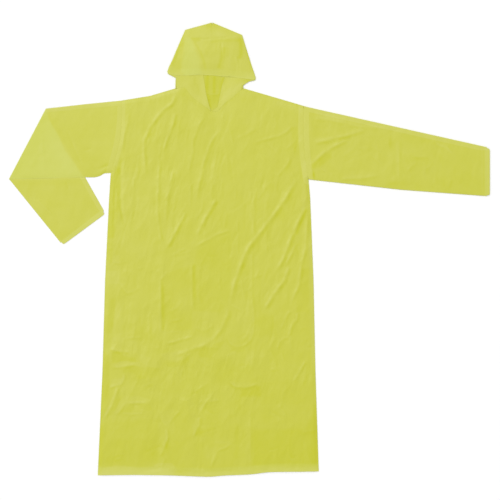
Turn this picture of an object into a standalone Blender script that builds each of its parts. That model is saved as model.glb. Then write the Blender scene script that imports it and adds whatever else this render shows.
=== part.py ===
"""A child's hooded film raincoat, laid flat on its back with its front up.

Every piece is a wall of film. The back lies on the surface and the front lies on
the back. Each sleeve is a tube pressed flat: the left one is spread, and the right
one is folded under itself at the elbow. Each half of the hood runs from the centre
back, round a side fold, to the flank beside the neck opening and to the brim, which
is turned down over the flanks.

X runs across the garment, Y from the hem to the hood and Z up from the surface. Left
and right are the wearer's, so the left sleeve points to +X. All sizes and places are
in millimetres until a mesh is made.
"""

import math
from collections import namedtuple

import bmesh
import bpy
from mathutils import Vector
from mathutils.geometry import delaunay_2d_cdt

METRES = 0.001

# Film
WALL = 1.0  # thickness of a layer
GAP = 0.3  # clear space between layers, and between pieces at a seam
STEP = WALL + GAP  # from one layer to the next
HALF_TUBE = WALL + GAP / 2  # from the middle of a flattened tube to its outside
HEM_DEPTH = 20.0  # turned hem at the bottom
CUFF_DEPTH = 15.0  # turned hem of a sleeve
HEM_RISE = 0.6  # what a turned hem adds to the wall
HEM_SLOPE = 1.0  # width of the step at a hem's upper edge

# Body: where each level lies and how wide the garment is there, side seam to side seam
Level = namedtuple("Level", "name centre_x width left_y right_y")
BODY_LEVELS = (
    Level("hem", -95.5, 507.0, -509.5, -520.3),
    Level("knee", -93.5, 488.0, -283.0, -283.0),
    Level("waist", -92.6, 477.0, -69.0, -69.0),
    Level("chest", -92.8, 462.0, 120.0, 120.0),
    Level("armpit", -92.7, 454.5, 162.2, 177.1),
    Level("shoulder", -85.7, 419.7, 331.0, 343.6),
    Level("shoulder_middle", -80.5, 299.0, 347.3, 354.2),
    Level("neck", -93.5, 156.2, 371.9, 371.5),
)
ARMHOLE_BOW = {"left": -5.0, "right": 9.6}  # how far each armhole curves off a straight line
HEM_SAG = ((13.3, -512.7), (-94.3, -521.6))  # from the left side seam to the right one

# Neck: seams between the hood and the panels, from the wearer's right shoulder to the left
FRONT_NECK = (
    (-171.6, 371.5),
    (-151.1, 374.9),
    (-131.3, 350.5),
    (-108.0, 333.5),
    (-89.7, 319.7),
    (-74.3, 319.7),
    (-58.4, 337.4),
    (-40.7, 349.6),
    (-20.9, 368.9),
    (-15.4, 371.9),
)
BACK_NECK = (
    (-171.6, 371.5),
    (-155.0, 365.6),
    (-136.0, 360.8),
    (-115.0, 357.6),
    (-93.0, 356.5),
    (-72.0, 357.6),
    (-51.0, 360.8),
    (-32.0, 365.6),
    (-15.4, 371.9),
)

# Sleeves: top edge and lower edge, from the shoulder and the armpit to the cuff
LEFT_TOP_EDGE = ((133.4, 326.6), (246.6, 298.3), (550.6, 233.2))
LEFT_LOWER_EDGE = ((346.6, 137.8), (550.6, 124.2))
RIGHT_TOP_EDGE = ((-380.0, 333.5),)
RIGHT_LOWER_EDGE = ((-338.1, 175.7), (-351.9, 167.4), (-380.0, 167.4))
ELBOW_TOP = (-466.2, 323.4)
ELBOW_LOWER = (-550.6, 161.7)
RIGHT_CUFF_TOP = (-333.5, 87.4)
RIGHT_CUFF_LOWER = (-428.7, 13.6)
FOLD_RADIUS = 1.45  # of the middle of the tube where it turns round at the elbow
FOLD_RINGS = 4
DROP_START = 8.0  # beyond the hidden forearm's edge, the upper arm starts to sink here
DROP_END = 46.0  # and lies on the surface from here
LEFT_RINGS = 13
UPPER_ARM_RINGS = 10
FOREARM_RINGS = 4
ACROSS = 7  # rows of points across a sleeve layer
ROUND_STEPS = 3  # points on the round edge of a flattened tube

# Large folds of the front: ridges of raised film, each a smooth line through its points
Fold = namedtuple("Fold", "name points half_width height")
FRONT_FOLDS = (
    Fold(
        "armpit_to_knee",
        ((105, 152), (57, 87), (13, 28), (-24, -21), (-46, -104), (-66, -185), (-122, -217), (-214, -251)),
        9,
        5.0,
    ),
    Fold("side_upper", ((128, 108), (87, 21), (80, -16)), 9, 4.5),
    Fold("side_long", ((131, 80), (119, -9), (110, -69), (94, -127)), 9, 5.0),
    Fold("side_inner", ((101, 10), (82, -27), (53, -58)), 8, 3.0),
    Fold("side_lower", ((84, -60), (58, -95), (34, -138)), 9, 4.0),
    Fold("chest_right", ((-160, 352), (-206, 317), (-234, 271), (-237, 191)), 8, 3.5),
    Fold("chest_side", ((-198, 209), (-214, 131), (-205, 35)), 8, 3.0),
    Fold("chest_centre", ((-64, 283), (-106, 202), (-124, 110)), 8, 3.0),
    Fold("belly_steep", ((-69, 120), (-97, 74), (-120, 35)), 8, 4.0),
    Fold("belly_flat", ((-41, 51), (-120, 8), (-184, -16)), 8, 3.5),
    Fold("knee_right", ((-320, -250), (-262, -262), (-196, -267)), 8, 3.0),
    Fold("skirt_low", ((-105, -354), (-122, -389), (-129, -423)), 8, 3.0),
    Fold("skirt_side", ((126, -255), (92, -304), (76, -331)), 8, 3.0),
)
LEFT_SLEEVE_FOLDS = (
    Fold("under_arm", ((143, 207), (177, 230), (223, 254)), 9, 3.5),
    Fold("upper_arm", ((146, 250), (190, 256), (244, 274), (285, 281)), 9, 3.0),
)
FOLD_SPACING = 26.0  # between the points along a fold
FOLD_TAPER = 0.25  # share of a fold's length over which each end dies out
FOLD_LINES = (-1.0, -0.5, 0.0, 0.5, 1.0)  # lines along a fold, in half widths

# Hood: one row for each section, from the neck to the crown. A section's layers start at
# the side fold and end at the centre back, the flank's edge and the centre of the brim.
Section = namedtuple("Section", "name side back flank brim puff")
HOOD_SECTIONS = {
    "right": (
        Section("neck", (-171.6, 372.2), (-93.2, 357.2), (-89.8, 320.4), None, 0.0),
        Section("throat", (-171.2, 385.0), (-91.5, 376.0), (-98.6, 360.0), None, 0.0),
        Section("tuck", (-170.7, 395.6), (-89.9, 392.0), (-104.3, 388.0), None, 0.0),
        Section("below_brim", (-186.5, 409.0), (-88.6, 401.0), (-107.6, 400.5), None, 0.0),
        Section("brim", (-187.9, 411.2), (-88.4, 403.0), (-109.0, 404.5), (-88.1, 401.9), 0.6),
        Section("hem", (-184.5, 420.2), (-87.8, 412.0), (-113.0, 413.0), (-87.8, 410.9), 1.2),
        Section("temple", (-176.0, 437.0), (-86.8, 430.0), (-120.0, 432.0), (-86.8, 429.5), 3.0),
        Section("tuck_top", (-168.5, 456.0), (-86.0, 449.0), (-127.0, 452.0), (-86.0, 448.5), 4.0),
        Section("above_tuck", (-166.5, 461.0), (-85.8, 454.0), None, (-85.8, 453.5), 4.0),
        Section("corner", (-147.2, 504.6), (-84.8, 474.0), None, (-84.8, 473.5), 3.4),
        Section("crown", (-117.0, 513.1), (-85.6, 494.0), None, (-85.6, 493.5), 2.0),
        Section("apex", (-88.2, 521.5), (-87.1, 516.5), None, (-87.1, 516.0), 0.0),
    ),
    "left": (
        Section("neck", (-15.4, 372.6), (-92.9, 357.2), (-74.2, 320.2), None, 0.0),
        Section("throat", (-15.4, 378.8), (-91.2, 376.0), (-70.0, 350.0), None, 0.0),
        Section("tuck", (-2.0, 387.4), (-89.6, 392.0), (-64.0, 382.0), None, 0.0),
        Section("below_brim", (10.2, 394.8), (-88.3, 401.0), (-59.4, 397.0), None, 0.0),
        Section("brim", (11.2, 396.8), (-88.1, 403.0), (-57.5, 401.0), (-87.8, 401.9), 0.6),
        Section("hem", (8.4, 405.7), (-87.5, 412.0), (-54.0, 410.0), (-87.5, 410.9), 1.2),
        Section("temple", (2.4, 424.0), (-86.5, 430.0), (-47.0, 428.0), (-86.5, 429.5), 3.0),
        Section("tuck_top", (-3.6, 443.0), (-85.7, 449.0), (-40.0, 446.0), (-85.7, 448.5), 4.0),
        Section("above_tuck", (-5.2, 448.0), (-85.5, 454.0), None, (-85.5, 453.5), 4.0),
        Section("corner", (-19.8, 493.1), (-84.5, 474.0), None, (-84.5, 473.5), 3.4),
        Section("crown", (-52.0, 506.8), (-85.3, 494.0), None, (-85.3, 493.5), 2.0),
        Section("apex", (-85.9, 521.1), (-86.8, 516.5), None, (-86.8, 516.0), 0.0),
    ),
}
BRIM_LINES = {
    "right": ((-170.2, 401.2), (-142.0, 401.4), (-112.0, 403.2)),
    "left": ((-10.0, 395.4), (-35.0, 397.3), (-61.0, 400.3)),
}
HOOD_STACK = 2 * STEP + WALL  # back layer, flank and brim layer
SIDE_WALL = 1.6  # from a side fold to the closed end of the slots between its layers
NUB = 2.0  # length of a layer that ends at the side fold
SWELL_REACH = 0.62  # the brim layer is highest this side of the centre seam, as a share of half a turn
HOOD_ACROSS = 5  # rows of points across each layer, as in each half of a neck seam

FILM_COLOUR = (0.617, 0.630, 0.098, 1.0)
FILM_ROUGHNESS = 0.32


def lerp(start, end, share):
    """The point at a share of the way between two points."""
    return tuple(a + (b - a) * share for a, b in zip(start, end))


def smoothstep(low, high, value):
    """0 below low, 1 above high and a smooth rise between them."""
    share = min(1.0, max(0.0, (value - low) / (high - low)))
    return share * share * (3.0 - 2.0 * share)


def spread(points, count):
    """Count points at equal steps along a line of points."""
    lengths = [math.dist(a, b) for a, b in zip(points, points[1:])]
    found = []
    for step in range(count):
        left = sum(lengths) * step / (count - 1)
        row = 0
        while row < len(lengths) - 1 and left > lengths[row]:
            left -= lengths[row]
            row += 1
        found.append(lerp(points[row], points[row + 1], min(1.0, left / lengths[row])))
    return found


def smooth_line(points, spacing):
    """Points about a spacing apart on the smooth curve that passes through all the given ones."""
    ends = [lerp(points[1], points[0], 2.0), *points, lerp(points[-2], points[-1], 2.0)]
    curve = []
    for a, b, c, d in zip(ends, ends[1:], ends[2:], ends[3:]):
        steps = max(2, round(math.dist(b, c) / spacing * 4))
        for step in range(steps):
            t = step / steps
            weights = (
                (-t + 2 * t * t - t**3) / 2,
                (2 - 5 * t * t + 3 * t**3) / 2,
                (t + 4 * t * t - 3 * t**3) / 2,
                (-t * t + t**3) / 2,
            )
            curve.append(tuple(sum(w * p[k] for w, p in zip(weights, (a, b, c, d))) for k in (0, 1)))
    curve.append(points[-1])
    length = sum(math.dist(a, b) for a, b in zip(curve, curve[1:]))
    return spread(curve, max(3, round(length / spacing) + 1))


def beside(line, distance):
    """The line moved sideways, to the left of its direction."""
    moved = []
    for i, point in enumerate(line):
        before, after = line[max(0, i - 1)], line[min(len(line) - 1, i + 1)]
        run = math.dist(before, after)
        moved.append(
            (
                point[0] - (after[1] - before[1]) / run * distance,
                point[1] + (after[0] - before[0]) / run * distance,
            )
        )
    return moved


def ridge_height(crest, fold, place):
    """How high one fold raises the film at a place."""
    best = (math.inf, 0.0)
    for i, (a, b) in enumerate(zip(crest, crest[1:])):
        run = (b[0] - a[0], b[1] - a[1])
        share = ((place[0] - a[0]) * run[0] + (place[1] - a[1]) * run[1]) / (run[0] ** 2 + run[1] ** 2)
        share = min(1.0, max(0.0, share))
        away = math.dist(place, lerp(a, b, share))
        best = min(best, (away, (i + share) / (len(crest) - 1)))
    away, along = best
    if away >= fold.half_width:
        return 0.0
    ends = smoothstep(0.0, FOLD_TAPER, along) * smoothstep(0.0, FOLD_TAPER, 1.0 - along)
    return fold.height * ends * math.cos(math.pi / 2 * away / fold.half_width) ** 2


def ridges(folds):
    """Each fold with its crest's points."""
    return [(fold, smooth_line(fold.points, FOLD_SPACING)) for fold in folds]


def raised(made, place):
    """How high a set of folds raises the film at a place."""
    return max((ridge_height(crest, fold, place) for fold, crest in made), default=0.0)


def side_point(level, side):
    """The end of a body level at one side seam."""
    half = level.width / 2
    if side == "left":
        return (level.centre_x + half, level.left_y)
    return (level.centre_x - half, level.right_y)


def body_levels():
    """The body's levels by name."""
    return {level.name: level for level in BODY_LEVELS}


def armhole(side, shift):
    """The armhole seam from the shoulder to the armpit, moved outwards by shift."""
    levels = body_levels()
    top, foot = side_point(levels["shoulder"], side), side_point(levels["armpit"], side)
    outwards = 1 if side == "left" else -1
    points = []
    for row in range(ACROSS):
        share = row / (ACROSS - 1)
        x, y = lerp(top, foot, share)
        points.append((x + ARMHOLE_BOW[side] * math.sin(math.pi * share) + outwards * shift, y))
    return points


def panel_outline(neck):
    """A body panel's outline, anticlockwise from the hem's left end; neck runs right to left."""
    levels = body_levels()
    sides = {}
    for side in ("left", "right"):
        below = [side_point(levels[name], side) for name in ("hem", "knee", "waist", "chest")]
        seam = armhole(side, -GAP / 2)[::-1]
        sides[side] = below + seam + [side_point(levels["shoulder_middle"], side)]
    return sides["left"] + list(neck)[::-1] + sides["right"][::-1] + list(HEM_SAG)[::-1]


def hem_line():
    """The bottom edge, from the wearer's right side seam to the left one."""
    hem = body_levels()["hem"]
    return [side_point(hem, "right"), *HEM_SAG[::-1], side_point(hem, "left")]


def hem_share(place):
    """1 on the turned hem, 0 above it."""
    line = hem_line()
    for a, b in zip(line, line[1:]):
        if place[0] <= b[0] or b == line[-1]:
            edge = a[1] + (b[1] - a[1]) * (place[0] - a[0]) / (b[0] - a[0])
            return 1.0 - smoothstep(HEM_DEPTH - 0.01, HEM_DEPTH + HEM_SLOPE, place[1] - edge)
    return 0.0


def film_material(name):
    """Pale, slightly glossy film."""
    material = bpy.data.materials.new(name)
    material.use_nodes = True
    shader = material.node_tree.nodes["Principled BSDF"]
    shader.inputs["Base Color"].default_value = FILM_COLOUR
    shader.inputs["Roughness"].default_value = FILM_ROUGHNESS
    shader.inputs["Metallic"].default_value = 0.0
    material.diffuse_color = FILM_COLOUR
    return material


def add_piece(name, place, points, faces, garment):
    """One closed piece from points and faces in millimetres, with its origin at place."""
    origin = Vector((place[0], place[1], 0.0)) * METRES
    mesh = bpy.data.meshes.new(name)
    mesh.from_pydata([Vector(p) * METRES - origin for p in points], [], faces)
    shape = bmesh.new()
    shape.from_mesh(mesh)
    bmesh.ops.triangulate(shape, faces=shape.faces)
    bmesh.ops.recalc_face_normals(shape, faces=shape.faces)
    shape.to_mesh(mesh)
    shape.free()
    mesh.shade_smooth()
    mesh.set_sharp_from_angle(angle=math.radians(40))
    mesh.materials.append(film_material(name + "_film"))
    piece = bpy.data.objects.new(name, mesh)
    bpy.context.collection.objects.link(piece)
    piece.parent = garment
    piece.location = origin
    return piece


def add_panel(name, outline, low, folds, hemmed, garment):
    """A body panel: a flat sheet of one wall whose folds and hem are lines of its mesh."""
    points = [Vector(p) for p in outline]
    edges = []
    made = ridges(folds)
    lines = [beside(crest, fold.half_width * share) for fold, crest in made for share in FOLD_LINES]
    if hemmed:
        hem = [lerp(hem_line()[0], hem_line()[-1], share) for share in (-0.02, 1.02)]
        hem = [hem[0], *hem_line()[1:-1], hem[1]]
        lines += [[(x, y + HEM_DEPTH + rise) for x, y in hem] for rise in (0.0, HEM_SLOPE)]
    for line in lines:
        first = len(points)
        points += [Vector(p) for p in line]
        edges += [(i, i + 1) for i in range(first, len(points) - 1)]
    flat, _, faces, *_ = delaunay_2d_cdt(points, edges, [list(range(len(outline)))], 1, 0.01)
    top, bottom = [], []
    for place in flat:
        lift = raised(made, place)
        bottom.append((place.x, place.y, low + lift))
        rise = HEM_RISE * hem_share(place) if hemmed else 0.0
        top.append((place.x, place.y, low + lift + WALL + rise))
    count = len(flat)
    sides = {}
    for face in faces:
        for a, b in zip(face, [*face[1:], face[0]]):
            key = (min(a, b), max(a, b))
            sides[key] = None if key in sides else (a, b)
    walls = [(a, a + count, b + count, b) for a, b in filter(None, sides.values())]
    layers = [tuple(face) for face in faces] + [tuple(i + count for i in face[::-1]) for face in faces]
    return add_piece(name, outline[0], top + bottom, layers + walls, garment)


def tube_ring(middles, normal, front_lift, front_extra, back_extra):
    """The outer and inner loops of a flattened tube at one place along it.

    The middles are the points halfway between the two layers, from the top edge to the
    lower edge, and the normal points to the outside of the front layer.
    """
    along = (middles[0] - middles[-1]).normalized()
    inset = [Vector(point) for point in middles]
    inset[0] -= along * HALF_TUBE
    inset[-1] += along * HALF_TUBE
    loops = []
    for half, thick in ((HALF_TUBE, 1.0), (GAP / 2, 0.0)):
        loop = []
        for point, lift in zip(inset, front_lift):
            loop.append(point + normal * (half + lift + front_extra * thick))
        turns = [math.pi * (k + 1) / (ROUND_STEPS + 1) for k in range(ROUND_STEPS)]
        loop += [inset[-1] + (normal * math.cos(a) - along * math.sin(a)) * half for a in turns]
        for point in inset[::-1]:
            loop.append(point - normal * (half + back_extra * thick))
        loop += [inset[0] + (along * math.sin(a) - normal * math.cos(a)) * half for a in turns]
        loops.append(loop)
    return loops


def add_tube(name, place, rings, garment):
    """A flattened tube, open at both ends, through its rings of outer and inner loops."""
    size = len(rings[0][0])
    points = [point for ring in rings for loop in ring for point in loop]
    faces = []
    for i in range(size):
        j = (i + 1) % size
        for row in range(len(rings) - 1):
            here, there = row * 2 * size, (row + 1) * 2 * size
            faces.append((here + i, there + i, there + j, here + j))
            faces.append((here + size + j, there + size + j, there + size + i, here + size + i))
        last = (len(rings) - 1) * 2 * size
        faces.append((i, j, size + j, size + i))
        faces.append((last + j, last + i, last + size + i, last + size + j))
    return add_piece(name, place, points, faces, garment)


def edge_stations(edge, count, cuff=None):
    """Places along a sleeve's edge; with a cuff, the last three mark its turned hem."""
    if cuff is None:
        return spread(edge, count)
    length = sum(math.dist(a, b) for a, b in zip(edge, edge[1:]))
    fine = spread(edge, 401)
    shares = [k / (count - 3) * (1 - cuff / length) for k in range(count - 2)]
    shares[-1] -= HEM_SLOPE / length
    shares += [1 - cuff / length, 1.0]
    return [fine[round(share * 400)] if share < 1 else edge[-1] for share in shares]


def across(top, foot, height):
    """Points across a sleeve, from its top edge to its lower edge."""
    return [Vector((*lerp(top, foot, k / (ACROSS - 1)), height)) for k in range(ACROSS)]


def armhole_ring(side):
    """The middle points of a sleeve's first ring, which follows the armhole seam."""
    return [Vector((x, y, HALF_TUBE)) for x, y in armhole(side, GAP / 2)]


def add_left_sleeve(garment):
    """The spread sleeve, with the two large folds of its upper arm."""
    made = ridges(LEFT_SLEEVE_FOLDS)
    seam = armhole_ring("left")
    tops = edge_stations([seam[0][:2], *LEFT_TOP_EDGE], LEFT_RINGS, CUFF_DEPTH)
    feet = edge_stations([seam[-1][:2], *LEFT_LOWER_EDGE], LEFT_RINGS, CUFF_DEPTH)
    rings = []
    for row, (top, foot) in enumerate(zip(tops, feet)):
        middles = across(top, foot, HALF_TUBE) if row else seam
        lifts = [raised(made, middle[:2]) for middle in middles]
        extra = HEM_RISE if row >= LEFT_RINGS - 2 else 0.0
        rings.append(tube_ring(middles, Vector((0, 0, 1)), lifts, extra, 0.0))
    return add_tube("left_sleeve", seam[0], rings, garment)


def sleeve_drop(place):
    """How high the upper arm lies where it covers the forearm, and beside it."""
    start, end = Vector(ELBOW_TOP), Vector(RIGHT_CUFF_TOP)
    run = (end - start).normalized()
    beyond = (Vector(place[:2]) - start).dot(Vector((-run.y, run.x)))
    return 2 * FOLD_RADIUS * (1.0 - smoothstep(DROP_START, DROP_END, beyond))


def add_right_sleeve(garment):
    """The folded sleeve: upper arm on top, a round fold at the elbow, forearm below."""
    up = Vector((0, 0, 1))
    level = [0.0] * ACROSS
    top, foot = Vector((*ELBOW_TOP, 0)), Vector((*ELBOW_LOWER, 0))
    run = (foot - top).normalized()
    outwards = run.cross(up)
    reach = FOLD_RADIUS + HALF_TUBE
    axis_top, axis_foot = top - outwards * reach, foot - outwards * reach
    seam = armhole_ring("right")
    tops = spread([seam[0][:2], *RIGHT_TOP_EDGE, axis_top[:2]], UPPER_ARM_RINGS)
    feet = spread([seam[-1][:2], *RIGHT_LOWER_EDGE, axis_foot[:2]], UPPER_ARM_RINGS)
    rings = []
    for row in range(UPPER_ARM_RINGS - 1):
        middles = across(tops[row], feet[row], HALF_TUBE) if row else seam
        middles = [middle + up * sleeve_drop(middle) for middle in middles]
        rings.append(tube_ring(middles, up, level, 0.0, 0.0))
    for step in range(FOLD_RINGS + 1):
        turn = math.pi * step / FOLD_RINGS
        normal = up * math.cos(turn) + outwards * math.sin(turn)
        middles = [
            point + up * reach + normal * FOLD_RADIUS for point in across(axis_top[:2], axis_foot[:2], 0)
        ]
        rings.append(tube_ring(middles, normal, level, 0.0, 0.0))
    tops = edge_stations([axis_top[:2], RIGHT_CUFF_TOP], FOREARM_RINGS + 3, CUFF_DEPTH)
    feet = edge_stations([axis_foot[:2], RIGHT_CUFF_LOWER], FOREARM_RINGS + 3, CUFF_DEPTH)
    for row in range(1, len(tops)):
        extra = HEM_RISE if row >= len(tops) - 2 else 0.0
        middles = across(tops[row], feet[row], HALF_TUBE)
        rings.append(tube_ring(middles, -up, level, 0.0, extra))
    return add_tube("right_sleeve", seam[0], rings, garment)


def neck_line(side, points, end):
    """The hood's side of a neck seam, from the shoulder to the end of its layer."""
    line = beside(points, GAP)
    half = line[:HOOD_ACROSS] if side == "right" else line[: -HOOD_ACROSS - 1 : -1]
    return [*half[:-1], end]


def finger(side_place, end_place, start, line=None):
    """Points of one hood layer in plan, from near the side fold to the layer's end."""
    aim = line[1] if line else end_place
    first = lerp(side_place, aim, start / math.dist(side_place, aim))
    if line:
        return [first, *line[1:]]
    return [lerp(first, end_place, k / (HOOD_ACROSS - 1)) for k in range(HOOD_ACROSS)]


def section_ring(side, section):
    """The closed loop of points round one hood section."""
    aim = section.brim or section.back
    stop = lerp(section.side, section.back, (SIDE_WALL + NUB) / math.dist(section.side, section.back))
    lines = {"back": None, "flank": None, "brim": None}
    if section.name == "neck":
        lines["flank"] = neck_line(side, FRONT_NECK, section.flank)
        lines["back"] = neck_line(side, BACK_NECK, section.back)
    if section.name == "brim":
        lines["brim"] = [section.side, *BRIM_LINES[side], section.brim]
    ends = {"back": section.back, "flank": section.flank or stop, "brim": section.brim or stop}
    radius = HOOD_STACK / 2
    outer = {k: finger(section.side, ends[k], radius, lines[k]) for k in ends}
    inner = {k: finger(section.side, ends[k], SIDE_WALL, lines[k]) for k in ends}
    outwards = Vector((section.side[0] - aim[0], section.side[1] - aim[1])).normalized()
    centre = Vector(section.side) - outwards * radius
    shares = [k / (HOOD_ACROSS - 1) for k in range(HOOD_ACROSS)]
    swell = [section.puff * math.sin(math.pi * SWELL_REACH * share) for share in shares]
    loop = [(*p, 0.0) for p in outer["back"][::-1]]
    for k in range(ROUND_STEPS):
        turn = math.pi * (k + 1) / (ROUND_STEPS + 1)
        place = centre + outwards * radius * math.sin(turn)
        loop.append((*place, radius - radius * math.cos(turn)))
    hem = HEM_RISE if section.name == "brim" else 0.0
    loop += [(*p, HOOD_STACK + hem + up) for p, up in zip(outer["brim"], swell)]
    loop += [(*p, 2 * STEP + up) for p, up in zip(inner["brim"][::-1], swell[::-1])]
    loop += [(*p, STEP + WALL) for p in inner["flank"]]
    loop += [(*p, STEP) for p in inner["flank"][::-1]]
    loop += [(*p, WALL) for p in inner["back"]]
    return loop


def end_faces(first, turned):
    """Faces that close a hood section's loop: a strip for each layer and one for the side fold."""
    count = HOOD_ACROSS
    back, fold = 0, count
    brim = fold + ROUND_STEPS
    under, flank = brim + count, brim + 2 * count
    flank_under, back_top = flank + count, flank + 2 * count
    faces = []
    for k in range(count - 1):
        faces.append((back + k, back + k + 1, back_top + count - 2 - k, back_top + count - 1 - k))
        faces.append((brim + k, brim + k + 1, under + count - 2 - k, under + count - 1 - k))
        faces.append((flank + k, flank + k + 1, flank_under + count - 2 - k, flank_under + count - 1 - k))
    root = [back + count - 1, *range(fold, brim), brim, under + count - 1, flank]
    root += [flank_under + count - 1, back_top]
    faces.append(tuple(root))
    return [tuple(first + i for i in (face[::-1] if turned else face)) for face in faces]


def add_hood_half(side, garment):
    """One half of the hood, through its sections from the neck to the crown."""
    loops = [section_ring(side, section) for section in HOOD_SECTIONS[side]]
    size = len(loops[0])
    points = [point for loop in loops for point in loop]
    faces = end_faces(0, True) + end_faces((len(loops) - 1) * size, False)
    for row in range(len(loops) - 1):
        here, there = row * size, (row + 1) * size
        for i in range(size):
            j = (i + 1) % size
            faces.append((here + i, here + j, there + j, there + i))
    return add_piece("hood_" + side, HOOD_SECTIONS[side][0].side, points, faces, garment)


def main():
    """Clears the scene and builds the six pieces under one empty."""
    for item in list(bpy.data.objects):
        bpy.data.objects.remove(item)
    garment = bpy.data.objects.new("raincoat", None)
    bpy.context.collection.objects.link(garment)
    add_panel("back", panel_outline(BACK_NECK), 0.0, (), False, garment)
    add_panel("front", panel_outline(FRONT_NECK), STEP, FRONT_FOLDS, True, garment)
    add_left_sleeve(garment)
    add_right_sleeve(garment)
    for side in ("left", "right"):
        add_hood_half(side, garment)


main()
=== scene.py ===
"""The looks of a child's hooded film raincoat that lies flat on its back, front up.

Each piece is a thin shell of film on the form of its solid. The back lies on the surface
and the front lies on the back. The left sleeve is spread, the right one is folded under
itself at the elbow, and the hood's brim is turned down over the flanks beside the neck.

X runs across the garment, Y from the hem to the hood and Z up from the surface. Left and
right are the wearer's, so the left sleeve points to +X. Sizes and places are in
millimetres until a mesh is made. Each mesh carries seven channels that the film's shader
reads at its points:

* milk: how milky the film looks there, from the layers below it, with painted light and
  painted shade added on top of that
* beside: distance from the nearest crest towards its steep side, away from the light, in
  widths of its painted highlight and shade lines
* force: how strongly that crease's painted highlight and shade show
* crumple: how crumpled the film is between its creases
* beneath: distance inside the outline of layers that show through, in widths of its blur
* strip: distance from a welded seam, as a share of the seam's allowance
* hem: distance from an open edge, as a share of the turned hem's depth
"""

import logging
import math
from dataclasses import dataclass
from enum import Enum
from typing import Any

import bmesh
import bpy
import numpy as np
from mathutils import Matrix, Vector
from mathutils.geometry import delaunay_2d_cdt


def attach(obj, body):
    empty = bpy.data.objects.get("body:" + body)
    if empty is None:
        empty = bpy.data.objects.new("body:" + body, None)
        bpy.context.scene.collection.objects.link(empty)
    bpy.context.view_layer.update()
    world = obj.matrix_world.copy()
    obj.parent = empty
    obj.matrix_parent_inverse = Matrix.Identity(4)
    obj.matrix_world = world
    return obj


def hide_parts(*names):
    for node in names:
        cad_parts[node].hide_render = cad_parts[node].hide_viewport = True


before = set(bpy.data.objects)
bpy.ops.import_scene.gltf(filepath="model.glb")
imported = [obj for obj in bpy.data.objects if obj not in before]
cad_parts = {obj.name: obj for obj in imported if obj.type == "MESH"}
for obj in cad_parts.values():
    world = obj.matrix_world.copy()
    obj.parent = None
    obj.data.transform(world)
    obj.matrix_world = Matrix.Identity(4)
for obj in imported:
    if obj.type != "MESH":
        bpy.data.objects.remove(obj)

Point = tuple[float, float]
Points = tuple[Point, ...]
Triple = tuple[float, float, float]
Faces = list[tuple[int, ...]]
Array = np.ndarray
Socket = bpy.types.NodeSocket
Material = bpy.types.Material

METRES = 0.001
BODY = "root"

WALL = 0.35  # film as shown
LAYER = 1.3  # from one layer of film to the next
FAR = 9.0  # a channel's value well away from any seam or hem
LEE = (0.74, -0.67)  # the side of a crease away from the light, which falls away more steeply and gets painted shade
UP = np.array([0.0, 0.0, 1.0])
GROOVE_WIDTH = 1.4  # of a seam between two pieces
SWELL_WAVES = 7
SWELL_SPREAD = (0.65, 1.6)  # of their wavelengths, as shares of the usual one
SWELL_PEAK = 1.6  # their usual crest, which is brought to 1
TINY = 1e-9

log = logging.getLogger("raincoat")


class Side(Enum):
    """The wearer's left or right."""

    LEFT = "left"
    RIGHT = "right"

    @property
    def outwards(self) -> int:
        """The sign of X on this side."""
        return 1 if self is Side.LEFT else -1


class Held(Enum):
    """How a sheet of film lies."""

    LAID = "laid"
    FOLDED = "folded"


# ---- lines and distances


def smoothstep(low: float, high: float, value: Array) -> Array:
    """0 below low, 1 above high and a smooth rise between them."""
    share = np.clip((value - low) / (high - low), 0.0, 1.0)
    return share * share * (3.0 - 2.0 * share)


def growing(least: float, reach: float, value: Array) -> Array:
    """A share that grows smoothly from the least at 0 to 1 at the reach."""
    return least + (1.0 - least) * smoothstep(0.0, reach, value)


def resample(line: Array, count: int) -> Array:
    """Count points at equal steps along a line of points."""
    line = np.asarray(line, float)
    lengths = np.linalg.norm(np.diff(line, axis=0), axis=1)
    run = np.concatenate([[0.0], np.cumsum(lengths)])
    steps = np.linspace(0.0, run[-1], count)
    return np.stack([np.interp(steps, run, line[:, k]) for k in range(line.shape[1])], 1)


def length_of(line: Array) -> float:
    """The length of a line of points."""
    return float(np.linalg.norm(np.diff(np.asarray(line, float), axis=0), axis=1).sum())


def spaced(line: Array, spacing: float) -> Array:
    """Points about a spacing apart along a line, its two ends among them."""
    return resample(line, max(2, round(length_of(line) / spacing) + 1))


def smooth_curve(points: Points, spacing: float) -> Array:
    """Points on the smooth curve through the given ones.

    Args:
        points: places that the curve passes through.
        spacing: distance between the returned points.

    Returns:
        The curve's points, one row each.
    """
    known = np.asarray(points, float)
    known = np.vstack([2 * known[0] - known[1], known, 2 * known[-1] - known[-2]])
    share = np.linspace(0.0, 1.0, 9)[:-1, None]
    pieces = []
    for a, b, c, d in zip(known, known[1:], known[2:], known[3:]):
        bend = 2 * a - 5 * b + 4 * c - d
        twist = 3 * (b - c) + d - a
        pieces.append(b + 0.5 * share * (c - a + share * (bend + share * twist)))
    pieces.append(known[-2][None])
    return spaced(np.vstack(pieces), spacing)


def track(places: Array, line: Array) -> tuple[Array, Array, Array]:
    """Where places lie beside and along a line.

    Args:
        places: points in plan, one row each.
        line: the line's points.

    Returns:
        The distance from the line, the same with a sign that is positive on the right of
        the line's direction, and the share of its length at the nearest point.
    """
    best = np.full(len(places), np.inf)
    turn = np.zeros(len(places))
    along = np.zeros(len(places))
    total = max(length_of(line), TINY)
    done = 0.0
    for a, b in zip(line, line[1:]):
        length = float(np.hypot(*(b - a)))
        run = (b - a) / max(length, TINY)
        away = places - a
        share = np.clip(away @ run, 0.0, length)
        off = away - share[:, None] * run
        square = (off * off).sum(1)
        near = square < best
        best[near] = square[near]
        turn[near] = (away[:, 0] * run[1] - away[:, 1] * run[0])[near]
        along[near] = (done + share[near]) / total
        done += length
    distance = np.sqrt(best)
    return distance, np.copysign(distance, turn), along


def distance(places: Array, line: Points | Array) -> Array:
    """How far places are from a line."""
    return track(places, np.asarray(line, float))[0]


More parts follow.
